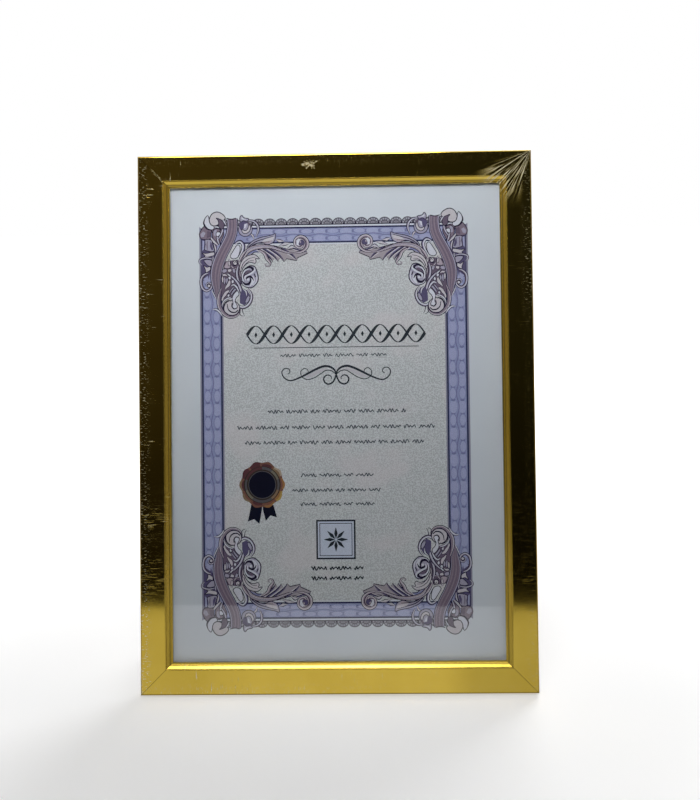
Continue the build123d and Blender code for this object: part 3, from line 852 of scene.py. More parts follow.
def lace(plate, side):
    """Row of ribbed scallops outside the top or bottom line, on a dark foot."""
    base = BORDER_HALF_HEIGHT + DARK_HALF + SOFT_LINE
    count = int(2 * BORDER_HALF_WIDTH / LACE_PITCH)
    half = count * LACE_PITCH / 2

    def strip(height, ink_name):
        low, high = sorted((side * base, side * (base + height)))
        plate.polygon(box_outline((-half, low), (half, high)), ink_name)

    strip(0.4 * LACE_HEIGHT, "shade")
    for step in range(count):
        middle = (step - (count - 1) / 2) * LACE_PITCH
        for size, ink_name in LACE_ARCHES:
            arch = []
            for part in range(ARCH_PARTS + 1):
                angle = math.radians(ARCH_START + ARCH_TURN * part / ARCH_PARTS)
                rise = 0.3 + 0.7 * math.sin(angle)
                across = LACE_PITCH * 0.52 * size * math.cos(angle)
                arch.append((middle + across, side * (base + LACE_HEIGHT * size * max(rise, 0.05))))
            plate.polygon(arch, ink_name)
        for part in range(1, LACE_RIBS):
            angle = math.pi * part / LACE_RIBS
            tip = (LACE_PITCH * 0.46 * math.cos(angle), LACE_HEIGHT * 0.9 * math.sin(angle))
            ends = [(middle + tip[0] * far, side * (base + tip[1] * far)) for far in (0.2, 1.0)]
            line(plate, ends, [0.15, 0.24], "lace", 1)
        joint = middle + LACE_PITCH / 2
        plate.polygon([(joint + u, side * (base + v)) for u, v in LACE_GUSSET], "outline")
    strip(LACE_FOOT, "outline")


def border():
    """Field, bands with their chains, lines and lace."""
    plate = Plate()
    full_u = BORDER_HALF_WIDTH
    full_v = BORDER_HALF_HEIGHT
    half_u = full_u - SIDE_BAND
    half_v = full_v - END_BAND
    plate.polygon(box_outline((-full_u, -full_v), (full_u, full_v)), "band")
    plate.polygon(box_outline((-half_u, -half_v), (half_u, half_v)), "field")
    for side in (-1, 1):
        chain(plate, 2 * half_v, SIDE_BAND, False, (side * (full_u - SIDE_BAND / 2), 0))
        chain(plate, 2 * half_u, END_BAND, True, (0, side * (full_v - END_BAND / 2)))
        lace(plate, side)
    outset = DARK_HALF + SOFT_LINE
    frame_line(plate, full_u + outset, full_v + outset, SOFT_LINE, "soft_line", "white_line")
    frame_line(plate, full_u + DARK_HALF, full_v + DARK_HALF, 2 * DARK_HALF, "navy", "navy")
    frame_line(plate, half_u + DARK_HALF, half_v + DARK_HALF, 2 * DARK_HALF, "navy", "navy")
    frame_line(plate, half_u - DARK_HALF, half_v - DARK_HALF, FIELD_LINE, "soft_line", "white_line")
    return plate.cut()


# Corner ornament: u runs inwards and v down from the dark line's corner, in mm

# Bracket, bell, leaves and small scroll along the corner's outer side
OUTER_LEAVES = """
    shape shade: 0,6 7,6 9.5,11 8,19 5,27 3.6,33 0,31 -0.4,18
    patch ribbon: 0.9,-1.2 -1.2,2.2 -1.4,3.9 -0.5,5.8 2.1,6.5 4.2,6.4 5.6,5.2 5.6,2.4 6.1,1 3.8,0.2 2.1,-1.5
    shape ribbon_dark: 3.4,1.2 5.4,1.6 5.2,4.8 3,5.6
    shape lilac: -0.8,3.2 0.8,1.4 2.4,2.4 1.2,4.8 -0.3,5
    shape band_pale: 0.4,7 1.6,7.2 1.3,12.4 0.3,13.4
    patch ribbon: 6.4,0.1 9,-0.7 12.1,0.7 13.6,2.8 12.4,6.4 10.4,9.5 8,7.4 6.6,5
    shape lilac: 7.2,1 9,0.2 9.4,2 8.8,4.6 7.4,4
    patch lilac: 2.1,6.5 5.9,6.8 6.6,9.4 7.7,13 6.3,13.9 4.2,13.6 1.65,12.6 2.1,9.6
    shape shade: 5.3,7.4 6.1,9 7.1,12.6 6,13 5,10.6
    line ribbon_dark 0.15 0.3 0.15: 3.4,7.2 3.2,10 3.4,12.8
    stroke cream 0.6 1.15 0.4: 5.6,5.3 7.7,7.9 10,10.1
    stroke lilac 0.9 1 0.4: 9.6,5 10,7.2 10.8,9.4
    patch pale: 9.1,2 11,2 11.5,3 10.1,4.6 8.9,4.3
    line outline 0.25 0.2: 6.6,2.6 7.3,0.9 9.2,-0.2 11,0.3 11.5,1.2 10.5,1.7
    stroke lilac 0.5 0.9 0.8 0.4: 12.9,-1.3 12.7,1.5 11.5,4.3 9.9,6.4
    stroke cream 0.4 0.85 0.2: 7.6,9.4 8.4,11.8 8.4,14.6
    patch cream: 0,14.6 2.6,14.9 5.2,14.4 7.6,14.3 7.4,16.2 4.4,17 1,17.8 2,16.3
    patch lilac: 1.2,19.2 3.4,18.6 6.2,19.4 6.2,22.2 4.6,22.8 2.6,21.4
    stroke lilac 0.3 0.6 0.7 0.75 0.7 0.4: 0.1,22 -1.4,20.6 -1.3,18.9 0.6,17.9 3.2,17.6 6.2,18.3
    patch cream: 1,22.2 3,23.4 5,23 5,25.2 2.4,26.6 2.1,24.8
    stroke lilac 0.4 0.85 0.2: 6.8,16.8 6.9,19 6,21.6
    shape band_pale: 0.8,30.6 3.6,28.6 4.2,31.8 2.2,33
    stroke mauve 0.5 0.95 1.05 1.05 1 0.95 0.85 0.65 0.5 0.35 0.25: 3.9,27 1.7,27.8 -0.2,29.9 -0.6,33 \
        0.3,36.2 2.7,37.8 5.2,36.4 5.8,34.3 4.6,33 2.9,33.5 2.8,35 4.1,34.9
    ball cream 1.25: 4.2,34.8
    stroke pale 0.3 0.65 0.3: 5.8,37.1 7.4,40.4 8.7,43.4
"""

# Second volute at the top with its leaf and arc
UPPER_SCROLL = """
    stroke lilac 0.5 1 1 0.3: 27.6,-5 31.8,-4.4 34.3,-1.8 34.6,1.6 33.2,5.2
    stroke cream 0.4 0.8 0.3: 29.6,3.2 31.2,4.4 32,6.6
    ball lilac 4.5: 26.7,0.6
    shape shade: 22.9,-2.8 24.5,-4.6 28.6,-4.2 26.4,-1.7 25,1.2 23.4,0.4
    shape ribbon_dark: 28.6,-4 30.2,-2.6 29.4,-2 28.2,-2.6
    patch cream: 24.6,0.4 26.6,1.4 28.2,0.2 28.9,-2.3 30,-0.6 29,2 26.8,3.2 25,2.4
    shape pale: 26.1,-2.7 27.7,-3.1 26.9,-0.5 25.8,0
    patch lilac: 23.4,-6.6 24.6,-8.2 26,-6.6 28.9,-5.9 27.6,-4.2 25.6,-4.8 23.8,-4
    shape pale: 24.5,-7.2 25.6,-6.2 27.6,-5.6 25.6,-5.4 24.4,-5.8
"""

# Crest, stem, end volute and small leaves of the long spray
LEAF_SPRAY = """
    patch lilac: 27.8,11 31.3,7.6 35.9,5.7 39.1,5 43,4.2 45.2,3.6 44.6,7.6 42.6,9.4 40.3,10.1 37.4,9.2 \
        34.4,9 31.3,10.2 28.5,12.4
    shape cream: 36.4,8.6 39,6.3 43.4,5.2 44.4,5.6 43.2,8 40.6,9.5
    shape rose: 36.6,8.8 40.4,8 43.4,7.2 42.2,9 40.4,9.7
    line outline 0.3 0.25 0.15: 28.4,11.4 33,8.2 38,6.6 43.8,5
    line outline 0.3 0.25 0.12: 28.6,12.2 33.5,9.4 37.5,8.6 41.5,8.4
    stroke veined 0.7 1.4 1.7 1.6 1.3 1 0.7 0.3: 23.9,22.3 25.8,17.2 28.1,13.8 32,11.9 37.5,11.2 43,11.8 \
        48.4,13.7 53.1,15.3 58.2,15.6
    disc rose 3.6 22: 60.6,9.2
    stroke rose 0.5 1.2 1.25 1.2 1.1 1 0.9 0.6 0.3: 57,15.4 61,14.6 63.9,12.3 64.5,9 62.9,6.4 60.1,5.5 \
        57.4,7 56.9,9.6 58.3,11.7 60.5,12 61.6,10.4 60.8,8.9 59.6,9.3
    shape pale: 57.9,10.6 57.7,7.9 59.2,6.6 60.5,7.3 59.5,9 59.4,11.2
    patch shade 0.2: 59.3,10.2 60,8 61.6,7.5 62.8,9 62.2,10.6 60.6,10.8
    shape rose: 59.7,8.4 60.5,7.9 60.7,9 60,9.6
    stroke cream 0.3 1.3 0.12: 45.3,7 47.6,7.9 50.4,8.1
    stroke cream 0.3 1.3 0.12: 47.2,11 51,9.7 54.6,9.4
    stroke cream 0.3 1.3 0.12: 52.4,13 55,11.6 57,12.4
    stroke rose 0.6 1.3 1.2 0.8 0.5 0.4 0.25: 35.2,13.5 38.3,15.5 39.8,18.6 41,20.2 41.8,21.6 41,23.1 \
        39.5,23.3 38.7,22.3 39.8,21.6
"""

# Pale oval beside the ribbon with the loop round it
OVAL_LOOP = """
    patch pale: 21.3,10.4 22.5,10.1 23.4,11.3 23.2,14.4 21.8,17.6 19,18.5 17.4,16.9 19,13.9
    stroke loop 0.5 1 1.2 1.2 0.8: 20.4,9.6 21.5,8.5 23.6,8 25.3,9.9 25.4,12.3 24.3,15.2 22.8,17.6
    stroke rose 0.5 1.1 1 0.5: 27.2,13.4 25.4,15.6 24,17.8 22.6,20.6
"""

# Large inner volute with its crest leaf and the stems that feed it
MIDDLE_VOLUTE = """
    shape ribbon_dark: 14,20 22,19 24,26 24,36 20,42 14,44 11,40 12,30
    patch cream: 23.1,22.9 24.2,20.2 26.4,17.6 29.6,16.3 32.6,16.2 35.2,18.8 32.8,18.4 33.2,20.2 32.4,21.4 \
        30,20.8 27.4,21.6 25.2,23.8 24.2,26.2 23,25.4
    line outline 0.25 0.2 0.12: 23.9,24.8 25.4,21.2 28.6,18.6 32.4,17.6
    line outline 0.25 0.2 0.12: 24.3,25.6 26.2,22.4 29,20 31.8,19.8
    patch lilac 0.6: 24.2,29.6 24.9,26.8 26.4,24.6 29,23 31.4,23 32.8,24.3 33.9,27.5 34.4,30.5 33.8,33.1 \
        31.9,35.3 29.7,36.4 26.9,35.8 24.7,34.3 24,32
    shape ribbon_dark: 25.2,30 26,27.2 28,25.5 29.8,25.6 29.9,26.5 28,27.9
    shape pale: 30.1,29.3 31.2,29 32,30.3 32.3,32.2 31.2,34.4 29.1,35.5
    line pale 0.2 0.35 0.35 0.2: 33,27.4 33.5,30.4 32.9,33 31.2,34.9
    line pale 0.25 0.35 0.2: 24.8,33.9 26.6,35.1 28.8,35.5
    line outline 0.15 0.3 0.3 0.15: 25.9,31.6 25.2,29.4 25.8,27.6 27.2,26
    line pale 0.2 0.4 0.4 0.35 0.2: 25.4,32.4 24.7,29.6 25.2,27.4 26.6,25.5 28.8,24.6
    line outline 0.2 0.55 0.7 0.6 0.2: 26.6,24.9 29,23.7 30.9,24.5 31.1,25.6 29.7,26.6
    line outline 0.2 0.3 0.3 0.3 0.2: 31.4,26 30.4,26.7 28.4,27.6 26.5,28.5 25.6,29.8
    line outline 0.3 0.6 0.7 0.45 0.15: 27.1,31 27.7,29.9 29.2,29.4 30.7,30.3 31.5,32
    line outline 0.2 0.65 0.75 0.5 0.3: 24.5,32.2 26.3,34.1 28.6,33.8 29.7,31.9 29.6,30.1
    line pale 0.3 0.5 0.55 0.55 0.5 0.4 0.25: 32.1,23.9 32.2,25.6 30.9,26.9 28.8,28.2 26.8,29.1 26.1,30.2 \
        26.5,31.8
    line outline 0.3 0.3: 31.8,27.7 32.7,29.9
    disc pale 0.8 14: 28.2,31.3
    stroke lilac 0.5 1 1.1 0.6: 22.2,22.9 21.4,26.7 21.9,30.6 23.5,34.7
    stroke lilac 0.4 0.9 1.1 1.2 1.2 0.4: 15.2,27 18.3,29.3 20.9,31.9 22.7,34.7 24,38.3 24.8,40.9 25.3,45
    stroke cream 0.4 0.8 0.3: 16.4,18.4 16.9,20.3 17.2,22.6
    stroke rose 0.4 0.8 0.3: 18,22.6 19.4,24.2 21.2,24.6
    ball cream 1.7: 20.4,20.9
    line outline 0.3 0.2: 18.9,21.8 19.6,22.6 21,22.4 21.5,21 20.6,20.1 19.9,20.9
"""

# Small leaves between the ribbon and the stems
FEATHERS = """
    patch cream 0.3: 12.1,29.3 12.9,29.2 13.2,30.9 12.8,33.2 12,31.8
    patch lilac 0.3: 13.4,29.8 14.3,30.1 14.5,32.1 13.7,34.3 13.2,33
    patch lilac 0.3: 14.8,30.3 15.8,30.3 15.8,32.1 14.9,33.9 14.5,32.1
    patch pale 0.3: 16,29.5 17.1,29.3 17.8,30.3 16.9,31.3 16.2,30.6
    patch cream 0.3: 16.6,31.4 17.5,32.6 17,34.9 15.4,36.2 13.9,37.4 14.2,35.7 15.2,33.9
    patch pale 0.3: 18.3,31.5 19.1,31.4 19.5,32.5 18.7,33.6 17.9,32.7
    patch cream 0.3: 12.3,28.1 13.7,27.5 15.1,28.1 15.6,29.3 14.4,28.9 12.9,28.9
    patch pale 0.3: 15.3,27.4 16.5,27.6 17.9,29.2 17.5,29.7 16.2,28.8
    patch lilac 0.3: 12.6,24.9 14.8,24.6 15.3,26 13.8,27 12.4,26.7
    patch cream 0.3: 15.7,25 17.8,24.7 18.1,25.9 16.4,26.6
    patch lilac 0.3: 18.5,24.9 19.8,24.4 20.6,26.3 19.4,27.2
    patch rose 0.3: 13.6,23.8 14,21.9 15.6,19.8 17.6,20.8 17.3,23.8 15.3,24.3
    patch cream 0.3: 16.2,19.8 17.3,20.6 17.1,22.8 16.2,22.2
    patch cream 0.3: 14.3,38.2 16.4,37.5 16.6,38.5 15.2,39.8 14.7,40.8 13.2,42.4 12.4,44.4 11.7,43 12.7,40.5
    patch pale 0.3: 15.5,40.4 16.6,40 16.7,41.3 15.6,41.8
    patch lilac 0.3: 18.6,35.9 19.5,36.2 17.6,38.5 16.4,39.9 16.6,38.5
    patch lilac 0.3: 19.7,36.7 20.9,37.2 18.9,39.6 17.9,41 17.6,39.8
    patch rose 0.3: 23,24.4 23.6,27.2 23.8,30.2 22.8,28
    stroke pale 0.3 0.8 0.85 0.6 0.2: 17.7,35 19.4,34.3 21.1,35.7 22.2,37.9 22.9,40.2
"""

# Inner C-scroll, pale leaf and the volute that the ribbon runs into
LOWER_VOLUTES = """
    shape shade: 24.2,37.4 27.4,37.6 29.4,41 28.6,45 25.6,47 23,45.6 23.1,41
    stroke scroll 0.4 0.9 1 1.1 1.1 0.4: 28,36.9 29.7,39.2 30.3,41.8 29.6,44.6 27.6,47.2 24.8,48.3 \
        22.4,47.4 21.4,45.4
    stroke pale 0.3 0.8 0.2: 25,37 26.8,38.6 27.2,41.2
    patch lilac 0.3: 26.3,45.4 26.9,42.9 28.6,40.8 29,43 27.8,45.2
    ball cream 5: 18,48.7
    patch pale: 18.3,42.2 19.9,39.3 21.7,38.1 22.5,40.4 20.9,42.2 20.1,44.5 20.9,46 21.4,48.1 19.4,48.9 \
        18.3,47.3 18.9,45.8
    stroke shell 0.4 1.2 1.5 1.5 1.4 1.3 1.1 1 0.8 0.3: 11.8,36.4 10.6,40.2 10.2,44 10.6,47.4 12.2,50.6 \
        14.6,52.9 17.2,54 20.3,53.4 22.4,51.6 23.4,49.4
    line outline 0.3 0.3: 23,49.4 21.4,52 18.6,53 15.8,52.5 13.7,50.7 12.9,48.1 13.7,45.5 15.8,44 17.8,44.2
    line outline 0.2 0.4 0.3: 15.2,46 15.8,49.1 17.6,50.9 20.1,51.2 21.9,49.9
    line outline 0.3 0.3: 18.3,45.5 18.1,47.6 19.4,49.1 21.4,48.4
    stroke pale 0.3 0.7 0.7 0.3: 12,47 12.9,44.6 14.8,42.9 16.8,42.3 18.4,42.9
    stroke pale 0.12 0.85 0.85 0.3: 6,49.4 8.4,49.2 10.6,50.8 12.2,53.4
    line outline 0.25 0.15: 23.2,48.6 22.8,51.2 23.4,53 24.9,53.6
    line outline 0.25 0.12: 24.5,49.1 24.8,51.2 25.8,53.5
"""

# Hatched ribbon over the leaves, with the cream volute and its crescent at the top
BROAD_RIBBON = """
    stroke ribbon 3.4 3.4 3.5 3.5 3.6 3.6 3.7 3.7 3.6 3.3 3 2.5 1.7 0.3: 18.6,-6 18.9,-2.6 18.4,2.3 17,6.5 \
        14.9,10.7 12.7,14.8 10.8,19 9.4,23 8.6,27 8.4,30.6 8.6,33.6 8.9,36.4 8.7,39 8.8,42.4
    line outline 0.3 0.3: 15.2,-6.4 18.2,-5.8 21.1,-6.4
    patch pale: 3.8,-8.3 1.9,-6.2 1.3,-3.8 2.1,-1.7 3.8,0.1 6.1,0.6 7.6,-0.4 7.2,-2 5.2,-3.4 4.7,-5.6
    line outline 0.25 0.5 0.55 0.3: 1.9,-6.2 1.3,-3.8 2.1,-1.7 3.8,0.1 6.1,0.6
    patch cream 0.55: 14.5,-6.9 12.4,-9.3 9.4,-10.4 6.6,-9.4 4.9,-6.8 4.7,-5 5.6,-2.8 7.5,-1.9 9.6,-2.3 \
        11.5,-3.6 13.4,-5
    patch ribbon_dark: 8.9,-6.6 10.5,-6.2 12.9,-5 13.9,-2.7 13.2,-0.3 11.7,0 10.3,-1.5 10.4,-3.6 10,-5.3
    stroke pale 0.3 0.7 0.3: 12.9,-5.6 14,-4.2 14.8,-2.4
"""

# Tips of the long spray, the notches between them, and its edges from the root to them and back
SPRAY_TIPS = [(43.2, 20.6), (46.5, 20.6), (50.2, 20.7), (57.9, 20.2), (64.5, 15.8)]
SPRAY_NOTCHES = [(44.6, 17.6), (47.8, 17.9), (51.8, 18.9), (58.4, 18.5)]
SPRAY_OUT = [(26.0, 17.5), (29.0, 13.0), (34.0, 11.0), (44.0, 10.8), (52.0, 13.0), (57.0, 13.6), (63.4, 13.4)]
SPRAY_BACK = [(40.6, 16.4), (37.0, 14.2), (32.0, 14.6), (28.0, 18.0)]
SPRAY_VEINS = ((-1.3, "cream"), (0.0, "outline"), (1.2, "shade"))
SPRAY_SHADE = "shape band_edge: 26.8,17 29.6,14 36,12.2 43,14 46,16.4 38,14.6 31,15"


def leaf_spray(plate):
    """Long acanthus spray that runs inwards and curls into an end volute."""
    body = SPRAY_OUT + SPRAY_TIPS[4:]
    for tip, notch in zip(SPRAY_TIPS[3::-1], SPRAY_NOTCHES[::-1]):
        body += [notch, tip]
    body += SPRAY_BACK
    plate.polygon(body, "leaf")
    draw(plate, SPRAY_SHADE)
    line(plate, body + body[:1], [0.25, 0.25], "outline", 1)
    for tip in SPRAY_TIPS:
        for lag, ink_name in SPRAY_VEINS:
            root = (tip[0] - 9.5 + lag, 12.4)
            bend = (tip[0] - 3.6 + 0.8 * lag, 0.45 * tip[1] + 0.55 * 13.2)
            end = (tip[0] - 0.5 + 0.3 * lag, tip[1] - 0.9)
            line(plate, [root, bend, end], [0.3, 0.32, 0.12], ink_name)
    draw(plate, LEAF_SPRAY)


def corner_copies():
    """The acanthus ornament at all four corners of the border."""
    plate = Plate()
    draw(plate, OUTER_LEAVES)
    draw(plate, UPPER_SCROLL)
    leaf_spray(plate)
    for drawing in (OVAL_LOOP, MIDDLE_VOLUTE, FEATHERS, LOWER_VOLUTES, BROAD_RIBBON):
        draw(plate, drawing)
    ornament = plate.cut()
    copies = []
    for side_u, side_v in ((-1, 1), (1, 1), (1, -1), (-1, -1)):
        shift = (PRINT_CENTRE[0] + side_u * BORDER_HALF_WIDTH, PRINT_CENTRE[1] + side_v * BORDER_HALF_HEIGHT)
        copies.append((ornament, (-side_u, -side_v), shift))
    return copies


# Seal, in mm from its own centre

SEAL_CENTRE = (-45.6, -37.4)
SEAL_LOBES = 10
LOBE_FACETS = 6
SEAL_STRETCH = 1.035
SEAL_RIM = (13.4, 0.55)
SEAL_SHADE = (12.2, 0.3)
SEAL_RING = (10.5, 0)
RIM_TONES = (
    "gold_deep tan copper copper_deep copper_deep seal_brown seal_brown copper gold_deep gold_bright"
).split()
SHADE_TONES = (
    "copper seal_brown copper_deep copper_deep copper_deep copper_deep copper copper_deep copper gold_deep"
).split()
RING_TONES = (
    "seal_grey seal_pale seal_grey copper_deep copper_deep seal_grey seal_pale seal_grey seal_grey seal_brown"
).split()
SEAL_TAILS = """
    shape seal_navy: -6.7,-11.8 -0.1,-12.5 -0.3,-15 -1.9,-23.6 -5.1,-20.7 -8.9,-22.2
    shape seal_navy: 0.3,-12.5 6.7,-12.3 8.8,-19.7 4.8,-18.6 2,-21.9 0.3,-15
"""
SEAL_LINE = "disc seal_line 11.2 44: 0,0"
SEAL_DISCS = """
    disc seal_line 9.3 44: 0,0
    disc seal_grey 8.4 44: 0,0
    disc seal_navy 8 44: 0,0
"""


def toned_disc(plate, radius, scallop, tones):
    """Disc of wedges, one tone to a lobe, with a scalloped rim and darker notches."""

    def rim_point(angle):
        far = radius + scallop * math.cos(SEAL_LOBES * angle)
        return (far * math.cos(angle), SEAL_STRETCH * far * math.sin(angle))

    turn = 2 * math.pi / SEAL_LOBES / LOBE_FACETS
    for facet in range(SEAL_LOBES * LOBE_FACETS):
        low = turn * (facet - LOBE_FACETS / 2)
        lobe, place = divmod(facet, LOBE_FACETS)
        tone = tones[lobe] if place or not scallop else "copper"
        plate.polygon([(0, 0), rim_point(low), rim_point(low + turn)], tone)


def seal():
    """Scalloped rosette with rings, a dark disc and two ribbon tails."""
    plate = Plate()
    draw(plate, SEAL_TAILS)
    toned_disc(plate, *SEAL_RIM, RIM_TONES)
    toned_disc(plate, *SEAL_SHADE, SHADE_TONES)
    draw(plate, SEAL_LINE)
    toned_disc(plate, *SEAL_RING, RING_TONES)
    draw(plate, SEAL_DISCS)
    return plate.cut()


# Lines of the print, in mm from the sheet's centre

HEAD_HALF_WIDTH = 54.0
HEAD_MIDDLE = 53.6
HEAD_HEIGHT = 5.4
HEAD_WAVES = 10
HEAD_STEPS = 14
HEAD_LEAST = 0.22
HEAD_FULL = 0.75
HEAD_FINE = 0.25
HEAD_DIAMOND = ((-0.9, 0), (0, -1.7), (0.9, 0), (0, 1.7))
RULE = ((-50.2, 45.4), (50.2, 45.85))
FLOURISH_BASE = 33.3
WAVE_LENGTHS = (9.5, 13.0, 5.5, 11.0, 7.0)
WAVE_GAP = 1.8
WAVE_LEAST = 2.0
WAVE_PERIOD = 2.1
WAVE_STEPS = 8
WAVE_DRIFT = 0.9
WAVE_DRIFT_RATE = 1.7
WAVE_SWELL = 0.28
WAVE_SWELL_RATE = 0.8

# Rows of waves: half length, place, height, half thickness and ink
WAVE_ROWS = (
    (33.8, 40.8, 1.0, 0.27, "grey_ink"),
    (41.8, 6.8, 1.2, 0.3, "grey_ink"),
    (60.5, -2.9, 1.2, 0.3, "grey_ink"),
    (55.7, -12.0, 1.2, 0.3, "grey_ink"),
    (22.0, -31.9, 1.05, 0.3, "grey_ink"),
    (27.2, -41.0, 1.05, 0.3, "grey_ink"),
    (22.2, -49.4, 1.05, 0.3, "grey_ink"),
    (16.4, -88.0, 1.25, 0.36, "black"),
    (16.4, -94.0, 1.25, 0.36, "black"),
)
BOX_MIDDLE = (-1.25, -70.85)
PETALS = 8
PETAL_PLACES = (0.6, 3.6, 7.2)
PETAL_WIDTHS = (0.1, 1.05, 0.1)
BOX_RINGS = ((11.9, "black"), (10.9, "box_pale"), (9.9, "outline"), (9.5, "box_pale"))

# Half of the calligraphic divider: a wedge, a crest, the line under it and a curl
FLOURISH = """
    shape blush: 3.2,-1.4 7,-0.6 11.4,-1.6 17,-4.4 19,-6 15,-6 9.7,-3.2 6.2,-1.2
    line black 0.4 0.68 0.68 0.45 0.35 0.3 0.22: 0,-4.2 1,-1.6 3.6,0.3 7.1,0.8 11.4,-0.6 16.6,-3.2 20.1,-5 \
        25.3,-7.2 28.8,-7.6 31.8,-5.7 33,-2.7 31.4,-0.4 28.8,-0.7 28.1,-2.7 29.5,-3.8
    line black 0.3 0.28 0.26 0.2: 0,-4.2 2.8,-2.1 6.2,-1.8 9.7,-4 13.2,-6.1 17.5,-7.2 21,-5.3 21.4,-2.2 \
        19.2,-0.4 17.3,-1.4 17.1,-3.5 18.8,-4.2
    line black 0.45 0.5 0.42 0.2: 0,-4.2 0.9,-7 2.5,-9.3 5,-10.1 7,-8.9 7.6,-6.8 6.4,-5 4.4,-4.7 \
        3,-5.8 3.1,-7.2
"""


def waves(plate, half, v, height, thickness, ink_name):
    """Row of short waved strokes, centred on the sheet."""
    low = -half
    index = 0
    while low < half - WAVE_LEAST:
        high = min(low + WAVE_LENGTHS[index % len(WAVE_LENGTHS)], half)
        steps = max(int((high - low) / WAVE_PERIOD * WAVE_STEPS), 2)
        points = []
        for step in range(steps + 1):
            u = low + (high - low) * step / steps
            turn = 2 * math.pi * u / WAVE_PERIOD + WAVE_DRIFT * math.sin(WAVE_DRIFT_RATE * u)
            swell = 1 - WAVE_SWELL + WAVE_SWELL * math.sin(WAVE_SWELL_RATE * u)
            points.append((u, v + height * swell * math.sin(turn)))
        line(plate, points, [thickness, thickness], ink_name, 1)
        low = high + WAVE_GAP
        index += 1


def head_band(plate):
    """Two interlaced waves with small diamonds, across the head of the sheet."""
    steps = HEAD_WAVES * HEAD_STEPS
    for phase in (1, -1):
        points = []
        widths = []
        for step in range(steps + 1):
            share = step / steps
            turn = math.pi * HEAD_WAVES * share
            u = (2 * share - 1) * HEAD_HALF_WIDTH
            points.append((u, HEAD_MIDDLE + phase * HEAD_HEIGHT * math.sin(turn)))
            swelling = HEAD_FULL if phase * math.cos(turn) > 0 else HEAD_FINE
            widths.append(HEAD_LEAST + swelling * abs(math.cos(turn)))
        line(plate, points, widths, "black", 1)
    for step in range(HEAD_WAVES):
        u = ((2 * step + 1) / HEAD_WAVES - 1) * HEAD_HALF_WIDTH
        plate.polygon([(u + side, HEAD_MIDDLE + rise) for side, rise in HEAD_DIAMOND], "black")


def printed_lines():
    """Head band, rule, flourish, rows of waves and a framed box with a plain rosette."""
    plate = Plate()
    head_band(plate)
    plate.polygon(box_outline(*RULE), "black")
    waves(plate, *WAVE_ROWS[0])
    for side in (-1, 1):
        draw(plate, FLOURISH, 5, side, FLOURISH_BASE)
    for row in WAVE_ROWS[1:]:
        waves(plate, *row)
    u, v = BOX_MIDDLE
    for half, ink_name in BOX_RINGS:
        plate.polygon(box_outline((u - half, v - half), (u + half, v + half)), ink_name)
    for petal in range(PETALS):
        angle = math.radians(360 / PETALS * petal)
        ends = [(u + far * math.cos(angle), v + far * math.sin(angle)) for far in PETAL_PLACES]
        line(plate, ends, PETAL_WIDTHS, "black", 6)
    return plate.cut()


certificate_sheet()
print_piece("print_border", 1, [(border(), (1, 1), PRINT_CENTRE)])
print_piece("print_corners", 2, corner_copies())
print_piece("print_seal", 2, [(seal(), (1, 1), SEAL_CENTRE)])
print_piece("print_lines", 2, [(printed_lines(), (1, 1), (0, 0))])


# Finishes on the CAD pieces

FOIL_UP = gold_foil("gold_foil_upright", True)
FOIL_ACROSS = gold_foil("gold_foil_across", False)
ZINC = plated("zinc_plate", rgb(0.56, 0.57, 0.575), rgb(0.38, 0.39, 0.40), 0.3, 420)
NICKEL = plated("bright_steel", rgb(0.64, 0.625, 0.59), rgb(0.46, 0.45, 0.43), 0.18, 900)
FINISHES = {
    "gold_moulding": FOIL_UP,
    "clear_glass": clear_glass(),
    "printed_paper": None,
    "grey_card": grey_card(),
    "hardboard": hardboard(),
    "zinc_plate": ZINC,
    "bright_steel": NICKEL,
}
for subpart in frame["record"]["subparts"]:
    finish = FINISHES[subpart["material_slot"]]
    if subpart["node"] in ("top_rail", "bottom_rail"):
        finish = FOIL_ACROSS
    if finish is None:
        continue
    for slot in NODES[subpart["node"]].material_slots:
        slot.material = finish


# Wall rings of round wire in the room of the CAD rings

WIRE_RADIUS = 0.95 * MM
WIRE_MIDDLE = 1.0 * MM
WIRE_SIDES = 14
RING_BEND = 1.6 * MM
BEND_STEPS = 6
BOW_STEPS = 40


def arc(centre, radius, first, last, count):
    """Points of an arc in the ring's own plane; angles in degrees."""
    points = []
    for step in range(count + 1):
        angle = math.radians(first + (last - first) * step / count)
        points.append((centre[0] + radius * math.cos(angle), centre[1] + radius * math.sin(angle)))
    return points


